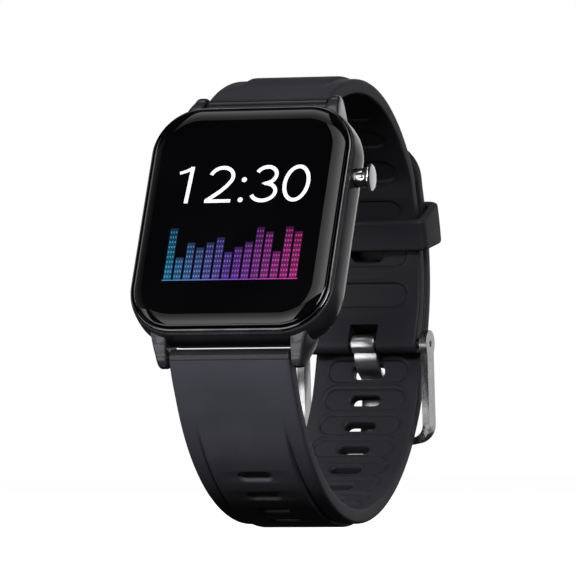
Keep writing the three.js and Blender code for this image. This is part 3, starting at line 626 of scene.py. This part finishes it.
def bar_sleeve(name, end):
    """The glossy moulded tube that the spring bar runs through, a little slimmer than the strap. Its rubber
    is much darker than the strap's: the gloss is a real finish, and the darker colour is painted shade for
    the gap under the case.
    """
    half, inner, outer = WIDTH / 2 - 0.05, 0.96, BARREL_R + 0.02
    wall = [(-half, inner), (-half, outer - 0.12), (0.12 - half, outer), (half - 0.12, outer),
            (half, outer - 0.12),
            (half, inner)]
    sleeve_piece = lathe(name, wall, "x", (BAR_Y, end * BAR_Z), 64, True)
    combine(sleeve_piece, [notch(end)])
    # The sleeve wears the darker glossy rubber: painted shade in the gap under the case.
    place(sleeve_piece, SHADED_GLOSS_RUBBER, "watch")


def notch(end):
    room = prism("notch", [(0, -1.1), (4, -1.1), (4, 1.1), (0, 1.1)], -8.3, -3.9)
    turn = math.pi - math.atan2(end * BAR_Z, BAR_Y - LOOP_Y)
    room.data.transform(Matrix.Translation((0, BAR_Y, end * BAR_Z)) @ Matrix.Rotation(turn, 4, "X"))
    return room


def width_at(share, start, end):
    return WIDTH - (WIDTH - END_WIDTH) * smoothstep(share, start, end)


# Short strap.
DENT = [(-3, 0.8), *[(level - THICK / 2, wider) for level, wider in (
    (0, 0.75), (0.04, 0.5), (0.11, 0.3), (0.22, 0.14), (0.33, 0.05), (0.42, 0))]]


def short_shape(share):
    return (width_at(share, 0.1, 0.75),
            RAISE * smoothstep(share, 0.08, 0.16) * (1 - 0.95 * smoothstep(share, 0.88, 0.95)),
            THICK + SWELL * (1 - smoothstep(share, 0, 0.09) + smoothstep(share, 0.93, 1)))


strap_short = strap_body("strap_half_short", short_line, np.linspace(0, 1, 150), short_shape)
combine(strap_short, [end_barrel(WIDTH / 2 - 0.1, BAR_Y, BAR_Z, BARREL_R),
                      end_barrel(END_WIDTH / 2, PIVOT_Y, PIVOT_Z)], "UNION")
tongue_room = prism("tongue_room", [(PIVOT_Y - 2.5, PIVOT_Z - 4.1), (PIVOT_Y + 2.5, PIVOT_Z - 4.1),
                                    (PIVOT_Y + 2.5, PIVOT_Z + 2.9), (PIVOT_Y - 2.5, PIVOT_Z + 2.9)],
                           -2.4, 2.4)
combine(strap_short, [
    bar_room(12, BAR_Y, BAR_Z), bar_room(12, PIVOT_Y, PIVOT_Z), notch(1), tongue_room,
    *[pill(short_line, share, 5.6, 2.6, lips(-0.75, 1.7, 0.3)) for share in (0.6, 0.8)],
    *[pill(short_line, share, 13.4, 3.6, DENT) for share in (0.4, 0.5, 0.6, 0.7, 0.8, 0.89)],
])
place(strap_short, RUBBER, "watch", ["strap_short"], 30)

# Long strap, with the tail's rounded tip.
TIP = 9.0 / long_line.length
SLOT_PITCH, SLOT_USED, SLOTS_ABOVE, SLOTS_BELOW = 8.48, 5.5, 2, 13


def long_shape(share):
    to_end = max(0.0, (share - (1 - TIP)) / TIP)
    rounding = math.sqrt(max(0.02, 1 - to_end * to_end))
    thin = 1 - 0.35 * smoothstep(to_end, 0.9, 1)
    return (width_at(share, 0.1, 0.5) * rounding,
            RAISE * smoothstep(share, 0.075, 0.14) * (1 - 0.9 * smoothstep(to_end, 0, 0.8)),
            (THICK + SWELL * (1 - smoothstep(share, 0, 0.06))) * thin)


def slot_share(turn):
    """The share of the long strap's length at an angle round the loop, found by halving."""
    low, high = 0.0, 1.0
    for _ in range(24):
        middle = (low + high) / 2
        point = long_line.at(middle)
        if math.degrees(math.atan2(point[1] - LOOP_Z, point[0] - LOOP_Y)) < turn:
            low = middle
        else:
            high = middle
    return low


tip_turns = np.linspace(0, math.pi / 2, 26)
shares = np.concatenate([np.linspace(0, 1 - TIP, 210)[:-1], 1 - TIP + TIP * np.sin(tip_turns)])
strap_long = strap_body("strap_half_long", long_line, shares, long_shape)
combine(strap_long, [end_barrel(WIDTH / 2 - 0.1, BAR_Y, -BAR_Z, BARREL_R)], "UNION")
slots = [slot_share(SLOT_USED + (SLOTS_ABOVE - i) * SLOT_PITCH) for i in range(SLOTS_ABOVE + SLOTS_BELOW + 1)]
combine(strap_long, [
    bar_room(12, BAR_Y, -BAR_Z), notch(-1),
    *[pill(long_line, share, 5.6, 2.6, lips(-0.75, 1.7, 0.3)) if i == SLOTS_ABOVE else
      pill(long_line, share, 5.0, 1.7, lips(-0.75, 1.7, 0.65)) for i, share in enumerate(slots)],
    *[pill(long_line, share, 13.4, 3.5, DENT) for share in slots],
])
place(strap_long, RUBBER, "watch", ["strap_long"], 30)

bar_sleeve("upper_bar_sleeve", 1)
bar_sleeve("lower_bar_sleeve", -1)

# ---------------------------------------------------------------- keeper
KEEPER_FROM, KEEPER_TO = 41.3 - 6.3, 41.3 + 6.3
KEEPER_IN, KEEPER_OUT = FAR_R - THICK / 2 - 0.3, FAR_R + TAIL_GAP + THICK / 2 + RAISE + 0.3
SOFT = 0.55


def keeper_ring(half_x, low, high, corner, turn):
    middle = (low + high) / 2
    loop = []
    for x, r in rounded(half_x, (high - low) / 2, corner, 8):
        y, z = about(FAR_Y, FAR_Z, middle + r, turn)
        loop.append((x, y, z))
    return loop


def keeper_station(turn, shrink, outside):
    if outside:
        return keeper_ring(10.9 - shrink, KEEPER_IN - 1.3 + shrink, KEEPER_OUT + 1.3 - shrink, 1.4, turn)
    return keeper_ring(9.6 + shrink, KEEPER_IN - shrink, KEEPER_OUT + shrink, 0.4 + shrink, turn)


rings = []
soft_turn = math.degrees(SOFT / 29)
ends = [(1 - math.cos(t), 1 - math.sin(t)) for t in np.linspace(0, math.pi / 2, 6)]
for along_end, shrink in ends:
    rings.append(keeper_station(KEEPER_FROM + soft_turn * along_end, SOFT * shrink, True))
for turn in np.linspace(KEEPER_FROM + soft_turn, KEEPER_TO - soft_turn, 12)[1:-1]:
    rings.append(keeper_station(turn, 0, True))
for along_end, shrink in reversed(ends):
    rings.append(keeper_station(KEEPER_TO - soft_turn * along_end, SOFT * shrink, True))
for along_end, shrink in ends:
    rings.append(keeper_station(KEEPER_TO - soft_turn * along_end, SOFT * shrink * 0.9, False))
for turn in np.linspace(KEEPER_TO - soft_turn, KEEPER_FROM + soft_turn, 12)[1:-1]:
    rings.append(keeper_station(turn, 0, False))
for along_end, shrink in reversed(ends):
    rings.append(keeper_station(KEEPER_FROM + soft_turn * along_end, SOFT * shrink * 0.9, False))
place(skin("keeper_band", rings, True), RUBBER, "keeper", ["keeper_loop"], 30)

# ---------------------------------------------------------------- buckle
HALF_X, INNER, REACH, TILT, DEPTH, WALL, CORNER = 11.3, 10.1, 15.8, 28.5, 3.2, 1.15, 3.2


def buckle():
    low = -REACH - WALL / 2
    outer = [(HALF_X, 0), (-HALF_X, 0)]
    outer += arc((CORNER - HALF_X, low + CORNER), CORNER, 180, 270, 16)
    outer += arc((HALF_X - CORNER, low + CORNER), CORNER, 270, 360, 16)
    inside = [(x, z + WALL / 2) for x, z in rounded(INNER, REACH, CORNER - WALL, 16)]
    frame_bar = plate("buckle_bow", outer, -DEPTH / 2, DEPTH / 2)
    combine(frame_bar, [plate("space", inside, -3, 3)])
    combine(frame_bar, [lathe("ear", [(side * INNER, 2.2), (side * HALF_X, 2.2)], "x", (0, 0), 64)
                        for side in (1, -1)], "UNION")
    combine(frame_bar, [lathe("hole", [(-12, 0.55), (12, 0.55)], "x", (0, 0), 24)])
    soften(frame_bar, 0.24, 3, 40)
    frame_bar.data.transform(Matrix.Translation((0, PIVOT_Y, PIVOT_Z))
                             @ Matrix.Rotation(math.radians(TILT), 4, "X"))
    return frame_bar


place(buckle(), BRUSHED, "buckle", ["buckle_frame"], 30)


def tongue():
    points = [(61.9, 6.2), (62.45, 5.1), (63.6, 4.2), (65.3, 3.8), (67, 3.55), (68.15, 2.35), (68.95, -0.4),
              (69.75, -3.5), (70.56, -5.93), (71.4, -7.5)]
    line = smooth_line(points, 10)
    steps = np.concatenate([[0], np.cumsum(np.linalg.norm(np.diff(line, axis=0), axis=1))])
    loops = []
    for k, point in enumerate(line):
        ahead = line[min(k + 1, len(line) - 1)] - line[max(k - 1, 0)]
        along = ahead / np.linalg.norm(ahead)
        aside = np.array((-along[1], along[0]))
        left = steps[-1] - steps[k]
        half_width = 2.0 * math.sqrt(max(0.12, 1 - max(0.0, 1 - left / 1.3) ** 2))
        half_thick = 0.4 * math.sqrt(max(0.3, 1 - max(0.0, 1 - left / 0.4) ** 2))
        shape = fillet([(half_width, -half_thick), (half_width, half_thick), (-half_width, half_thick),
                        (-half_width, -half_thick)], 0.22, 4)
        loops.append([(x, *(point + aside * t)) for x, t in shape])
    body = skin("buckle_pin", loops)
    soft = [(-2, 0), (-2, 1.25), (-1.93, 1.43), (-1.75, 1.5), (1.75, 1.5), (1.93, 1.43), (2, 1.25), (2, 0)]
    combine(body, [lathe("curl", soft, "x", (PIVOT_Y, PIVOT_Z), 64)], "UNION")
    combine(body, [lathe("hole", [(-3, 0.95), (3, 0.95)], "x", (PIVOT_Y, PIVOT_Z), 40)])
    return body


place(tongue(), SATIN_CHROME, "tongue", ["buckle_tongue"], 32)


# ---------------------------------------------------------------- spring bars
def bar_pieces(name, half, reach, y, z, lever):
    turn = Matrix.Translation((0, y, z)) @ Matrix.Rotation(math.pi - math.atan2(z, y - LOOP_Y), 4, "X")
    tube = [(-half, 0.5), (-half, 0.7), (0.05 - half, 0.75), (half - 0.05, 0.75), (half, 0.7), (half, 0.5),
            (half - 0.6, 0.5), (half - 0.6, 0.6), (0.6 - half, 0.6), (0.6 - half, 0.5)]
    barrel_piece = lathe(f"{name}_barrel", tube, "x", (0, 0), 40, True)
    if lever:
        window = prism("window", [(0, -0.45), (2, -0.45), (2, 0.45), (0, 0.45)], 2.05 - half, 4.35 - half)
        combine(barrel_piece, [window])
    barrel_piece.data.transform(turn)
    place(barrel_piece, BRUSHED, "watch", [f"{name}_tube"])
    for side, word in ((-1, "left"), (1, "right")):
        profile = [(half - 3.2, 0), (half - 3.2, 0.53), (half - 2, 0.53), (half - 2, 0.42),
                   (reach - 0.25, 0.42),
                   (reach - 0.1, 0.38), (reach, 0.28), (reach, 0)]
        pin = lathe(f"{name}_pin_{word}", [(side * a, r) for a, r in profile], "x", (0, 0), 32)
        if lever and side < 0:
            knob = [(0, 0.32), (2.15, 0.32), (2.26, 0.26), (2.3, 0.16), (2.3, 0)]
            combine(pin, [lathe("lever", [(0, 0), *knob], "y", (side * (half - 2.6), 0), 24)], "UNION")
        pin.data.transform(turn)
        place(pin, BRUSHED, f"{name}_tip_{word}", [f"{name}_tip_{word}"])


def coil(name, radius, wire, left, right_end, turns, y, z):
    steps = int(turns * 16)
    loops = []
    for k in range(steps + 1):
        turn = 2 * math.pi * turns * k / steps
        x = left + wire + (right_end - left - 2 * wire) * k / steps
        loops.append([(x + wire * math.sin(a), y + (radius + wire * math.cos(a)) * math.cos(turn),
                       z + (radius + wire * math.cos(a)) * math.sin(turn))
                      for a in np.linspace(0, 2 * math.pi, 8, endpoint=False)])
    return skin(name, loops)


def spring_piece(obj, stands_for):
    """A spring coil, put on the watch in brushed steel in place of its CAD pieces, with a mesh of its own."""
    place(obj, BRUSHED, "watch", stands_for, 60)
    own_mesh(obj)


for bar, half, y, z, travel in (("upper_bar", 9.3, BAR_Y, BAR_Z, 1.2), ("lower_bar", 9.3, BAR_Y, -BAR_Z, 1.2),
                                ("buckle_bar", 8.8, PIVOT_Y, PIVOT_Z, 1.0)):
    reach = half - 3.3
    spring_piece(coil(f"{bar}_coil_left", 0.42, 0.08, -reach, 0, 7, y, z), [f"{bar}_spring"])
    spring_piece(coil(f"{bar}_coil_right", 0.42, 0.08, 0, reach, 7, y, z), [])
spring_piece(coil("crown_coil", 0.84, 0.1, 16.05, 17.8, 4, *CROWN), ["crown_spring"])
bar_pieces("upper_bar", 9.3, 11.1, BAR_Y, BAR_Z, True)
bar_pieces("lower_bar", 9.3, 11.1, BAR_Y, -BAR_Z, True)
bar_pieces("buckle_bar", 8.8, 10.9, PIVOT_Y, PIVOT_Z, False)

# ---------------------------------------------------------------- what the display shows
INK = 0.006
SUNK = GLASS_FRONT + 0.05


def ribbon(name, path, width, level, closed=False):
    """A flat line of even width on the glass, along points in X and Z."""
    p = np.asarray(path, float)
    count = len(p)
    loops = []
    for k in range(count):
        ahead = p[(k + 1) % count] - p[k] if closed or k < count - 1 else p[k] - p[k - 1]
        back = p[k] - p[k - 1] if closed or k else ahead
        a, b = ahead / np.linalg.norm(ahead), back / np.linalg.norm(back)
        along = (a + b) / np.linalg.norm(a + b)
        aside = np.array((-along[1], along[0])) * width / 2 / max(0.5, along @ a)
        near = GLASS_FRONT - level * INK
        one, other = p[k] + aside, p[k] - aside
        loops.append([(one[0], near, one[1]), (other[0], near, other[1]),
                      (other[0], SUNK, other[1]), (one[0], SUNK, one[1])])
    return skin(name, loops, closed)


def merge(name, parts, look):
    """Joins display marks into one piece."""
    verts, faces = [], []
    for part in parts:
        base = len(verts)
        verts += [tuple(v.co) for v in part.data.vertices]
        faces += [tuple(base + i for i in face.vertices) for face in part.data.polygons]
        bpy.data.objects.remove(part)
    mesh = bpy.data.meshes.new(name)
    mesh.from_pydata(verts, [], faces)
    obj = bpy.data.objects.new(name, mesh)
    bpy.context.scene.collection.objects.link(obj)
    return place(obj, look, "watch")


def box_mark(x0, x1, z0, z1, level):
    """An upright rectangle on the glass, raised by so many coats of ink."""
    return plate("mark", [(x0, z0), (x1, z0), (x1, z1), (x0, z1)], GLASS_FRONT - level * INK, SUNK)


COOL_WHITE = (0.97, 0.98, 1.0)
WHITE = glow("time_white", [(-12, COOL_WHITE), (12, COOL_WHITE)], [(2, 1.0), (9, 1.0)], 1.25)
DIGIT_LOW, DIGIT_HIGH, LEAN = 2.3, 8.65, 0.055
SIZE = DIGIT_HIGH - DIGIT_LOW


def sheared(points, left, width):
    """Points of a digit, given as shares of its width and height, on the leaning line of the time."""
    return [(left + width * x + LEAN * SIZE * y, DIGIT_LOW + SIZE * y) for x, y in points]


def oval(centre, radius_x, radius_z, start, end, steps=28):
    turns = np.radians(np.linspace(start, end, steps + 1))
    return [(centre[0] + radius_x * math.cos(t), centre[1] + radius_z * math.sin(t)) for t in turns]


two = oval((0.47, 0.70), 0.40, 0.26, 165, -25) + [(0.70, 0.45), (0.5, 0.3), (0.24, 0.15), (0.06, 0.05)]
three = oval((0.45, 0.735), 0.36, 0.225, 158, -88) + oval((0.45, 0.275), 0.43, 0.235, 88, -160)
zero = oval((0.5, 0.5), 0.41, 0.455, 0, 360, 48)[:-1]
PEN = 0.62
marks = [
    ribbon("d", sheared([(0.08, 0.83), (0.42, 0.88), (0.7, 0.955)], -11.5, 3.1), 0.5, 3),
    ribbon("d", sheared([(0.72, 0.0), (0.72, 1.0)], -11.5, 3.1), PEN, 3),
    ribbon("d", sheared(two, -6.3, 4.7), PEN, 3),
    ribbon("d", sheared([(0.02, 0.045), (0.94, 0.045)], -6.3, 4.7), 0.55, 3),
    ribbon("d", sheared(three, 1.25, 4.6), PEN, 3),
    ribbon("d", sheared(zero, 6.2, 4.7), PEN, 3, True),
]
for share in (0.07, 0.62):
    x, z = sheared([(0.5, share)], -0.75, 1.0)[0]
    marks.append(plate("d", arc((x, z), 0.42, 0, 360, 28)[:-1], GLASS_FRONT - 3 * INK, SUNK))
merge("time_digits", marks, WHITE)

# A plain pattern: blocks of one width at an even pitch, with one window grid and a ground line.
BLOCKS, PITCH, BLOCK_WIDE, GROUND = 14, 1.6, 1.25, -11.0
STOREY, LEAST_STOREYS, MORE_STOREYS = 0.85, 4, 7
COLUMNS, WINDOW_WIDE, WINDOW_HIGH = 3, 0.2, 0.34
SKYWARD = GROUND + STOREY * (LEAST_STOREYS + MORE_STOREYS)
ACROSS = [(-12, (0.02, 0.32, 0.5)), (0, (0.2, 0.08, 0.55)), (12, (0.7, 0.05, 0.3))]


def scattered(k):
    """A repeatable share from 0 to 1 for the number k."""
    return math.sin(k * 12.9898) * 43758.5453 % 1


blocks, windows = [], []
for i in range(BLOCKS):
    left = (i - BLOCKS / 2) * PITCH + (PITCH - BLOCK_WIDE) / 2
    storeys = LEAST_STOREYS + int(MORE_STOREYS * scattered(i + 1))
    blocks.append(box_mark(left, left + BLOCK_WIDE, GROUND, GROUND + STOREY * (storeys + 0.5), 1.5))
    for storey in range(storeys):
        low = GROUND + STOREY * (storey + 0.5)
        for column in range(COLUMNS):
            start = left + (column + 0.5) * BLOCK_WIDE / COLUMNS - WINDOW_WIDE / 2
            windows.append(box_mark(start, start + WINDOW_WIDE, low, low + WINDOW_HIGH, 2.2))
edge = BLOCKS * PITCH / 2
merge("city_blocks", blocks, glow("city_blocks", ACROSS, [(GROUND, 0.3), (SKYWARD, 0.1)], 1.0))
merge("city_windows", windows, glow("city_windows", ACROSS, [(GROUND, 1.0), (SKYWARD, 0.6)], 1.2))
merge("city_ground", [box_mark(-edge, edge, GROUND - 0.12, GROUND, 2.6)],
      glow("city_ground", ACROSS, [(GROUND - 1, 1.0), (GROUND + 1, 1.0)], 1.2))

# ---------------------------------------------------------------- stage and light
TOP_LIGHT, FRONT_LIGHT, SIDE_LIGHT, REAR_LIGHT, ROOM_LIGHT, FILL_LIGHT = 3.0, 130.0, 6.0, 8.0, 0.02, 0.05
WATCH_MIDDLE = Vector((0, -0.01, 0.04))
CARD_DISTANCE = 0.85


def sheet(name, corners):
    """A flat, four-cornered piece of the stage."""
    mesh = bpy.data.meshes.new(name)
    mesh.from_pydata([tuple(c) for c in corners], [], [(0, 1, 2, 3)])
    obj = bpy.data.objects.new(name, mesh)
    bpy.context.scene.collection.objects.link(obj)
    return obj


floor = sheet("floor", [(-3, -3, 0), (3, -3, 0), (3, 3, 0), (-3, 3, 0)])
floor_look = bpy.data.materials.new("floor_paper")
floor_look.use_nodes = True
paper = floor_look.node_tree.nodes["Principled BSDF"]
paper.inputs["Base Color"].default_value = (0.1, 0.1, 0.1, 1)
paper.inputs["Emission Color"].default_value = (1, 1, 1, 1)
paper.inputs["Emission Strength"].default_value = 0.98
paper.inputs["Roughness"].default_value = 0.9
paper.inputs["Specular IOR Level"].default_value = 0.1
floor.data.materials.append(floor_look)
floor.visible_diffuse = False
floor.visible_glossy = False

# The flat glass mirrors one direction to the camera. The first four cards stand round that direction, so that
# the face stays dark and only its rolled edge picks them up.
face_out = -HEAD_Y
mirrored_way = (2 * face_out.dot(away) * face_out - away).normalized()
turn_right = (HEAD_X - HEAD_X.dot(mirrored_way) * mirrored_way).normalized()
turn_up = mirrored_way.cross(turn_right) * -1
if turn_up.z < 0:
    turn_up = -turn_up


def softbox(name, toward, distance, wide, high, radiance):
    """A panel that faces the watch: toward is its direction, and radiance its brightness."""
    data = bpy.data.lights.new(name, "AREA")
    data.shape = "RECTANGLE"
    data.size, data.size_y = wide, high
    data.energy = 4 * wide * high * radiance
    out = Vector(toward).normalized()
    side = Vector((0, 0, 1)).cross(out).normalized()
    obj = bpy.data.objects.new(name, data)
    spot = WATCH_MIDDLE + out * distance
    obj.matrix_world = Matrix.Translation(spot) @ Matrix((side, out.cross(side), out)).transposed().to_4x4()
    obj.visible_camera = False
    bpy.context.scene.collection.objects.link(obj)
    return obj


def beside_mirror(sideways, upward):
    """A direction so many degrees to the right of and above the one that the glass mirrors."""
    across, above = (math.tan(math.radians(angle)) for angle in (sideways, upward))
    return mirrored_way + turn_right * across + turn_up * above


def card(name, toward, wide, high, dim, bright, along=("X", 0, 1), upright=Vector((0, 0, 1))):
    """A glowing card seen only in reflections: degrees wide and high, brighter towards one side."""
    out = Vector(toward).normalized()
    side = upright.cross(out).normalized()
    rise = out.cross(side)
    middle = WATCH_MIDDLE + out * CARD_DISTANCE
    half_w, half_h = (CARD_DISTANCE * math.tan(math.radians(angle / 2)) for angle in (wide, high))
    corners = [middle + side * half_w * a + rise * half_h * b
               for a, b in ((-1, -1), (1, -1), (1, 1), (-1, 1))]
    obj = sheet(name, corners)
    uv = obj.data.uv_layers.new(name="card")
    for loop, spot in zip(uv.data, ((0, 0), (1, 0), (1, 1), (0, 1))):
        loop.uv = spot
    look = bpy.data.materials.new(name)
    look.use_nodes = True
    nodes, links = look.node_tree.nodes, look.node_tree.links
    nodes.clear()
    split = nodes.new("ShaderNodeSeparateXYZ")
    links.new(nodes.new("ShaderNodeTexCoord").outputs["UV"], split.inputs["Vector"])
    level = nodes.new("ShaderNodeMapRange")
    level.interpolation_type = "SMOOTHSTEP"
    level.inputs["From Min"].default_value, level.inputs["From Max"].default_value = along[1:]
    level.inputs["To Min"].default_value, level.inputs["To Max"].default_value = dim, bright
    links.new(split.outputs[along[0]], level.inputs["Value"])
    shine = nodes.new("ShaderNodeEmission")
    links.new(level.outputs["Result"], shine.inputs["Strength"])
    links.new(shine.outputs["Emission"], nodes.new("ShaderNodeOutputMaterial").inputs["Surface"])
    obj.data.materials.append(look)
    obj.visible_camera = False
    obj.visible_diffuse = False
    obj.visible_shadow = False


card("card_right", beside_mirror(29, 0), 42, 26, 0.8, 2.4, ("X", 0.0, 0.8), turn_up)
card("card_top", beside_mirror(2, 29), 24, 38, 0.35, 1.5, ("Y", 0.0, 0.7), turn_up)
card("card_low", beside_mirror(0, -29), 26, 36, 2.4, 0.5, ("Y", 0.2, 1.0), turn_up)
card("card_left", beside_mirror(-32, 0), 30, 26, 0.3, 0.08, ("X", 0.1, 1.0), turn_up)
card("card_far_right", (0.36, 0.93, 0.03), 24, 30, 0.35, 0.75)
card("card_low_left", (-0.34, -0.9, -0.26), 60, 22, 1.5, 2.2, ("Y", 0.1, 0.9))
card("card_mid_left", (-0.36, -0.9, 0.22), 14, 20, 1.6, 2.2)
card("card_under", (-0.3, 0.0, -0.95), 14, 14, 0.4, 0.6)
card("card_near_left", (-0.75, -0.62, 0.12), 14, 40, 1.0, 2.2)
card("card_side", (1, -0.12, 0.35), 26, 18, 0.6, 1.1)
card("card_far_side", (-1, 0.15, 0.3), 26, 30, 0.8, 1.4)
card("card_behind", (-0.1, 1, 0.25), 26, 30, 0.8, 1.4)
softbox("softbox_top", (0.1, 0.35, 0.9), 0.9, 0.8, 0.5, TOP_LIGHT).visible_glossy = False
softbox("softbox_front", (-0.03, -0.9, 0.44), 0.95, 0.8, 0.2, FRONT_LIGHT).visible_glossy = False
softbox("softbox_side", (0.78, -0.6, 0.3), 0.85, 0.3, 0.4, SIDE_LIGHT)
softbox("softbox_rear", (0.6, 0.8, 0.42), 0.9, 0.5, 0.6, REAR_LIGHT).visible_glossy = False
softbox("softbox_behind", (-0.6, 0.9, 0.35), 1.0, 0.6, 0.6, REAR_LIGHT).visible_glossy = False

# A flag that keeps most of the front light off the top of the strap. It isn't seen in any view.
flag = sheet("flag", [(-0.4, -0.13, 0.12), (0.4, -0.13, 0.12), (0.4, -0.13, 0.4), (-0.4, -0.13, 0.4)])
flag.visible_camera = flag.visible_diffuse = flag.visible_glossy = False

world = bpy.data.worlds.new("studio")
bpy.context.scene.world = world
world.use_nodes = True
sky, wires = world.node_tree.nodes, world.node_tree.links
backdrop = sky["Background"]
backdrop.inputs["Color"].default_value = (1, 1, 1, 1)
room = sky.new("ShaderNodeBackground")
room.inputs["Color"].default_value = (0.9, 0.93, 1.0, 1)
room.inputs["Strength"].default_value = ROOM_LIGHT
fill = sky.new("ShaderNodeBackground")
fill.inputs["Strength"].default_value = FILL_LIGHT
seen = sky.new("ShaderNodeLightPath")
last = room
for ray, light in (("Is Diffuse Ray", fill), ("Is Camera Ray", backdrop)):
    choose = sky.new("ShaderNodeMixShader")
    wires.new(seen.outputs[ray], choose.inputs["Fac"])
    wires.new(last.outputs[0], choose.inputs[1])
    wires.new(light.outputs["Background"], choose.inputs[2])
    last = choose
wires.new(last.outputs[0], sky["World Output"].inputs["Surface"])
bpy.context.scene.view_settings.view_transform = "Standard"
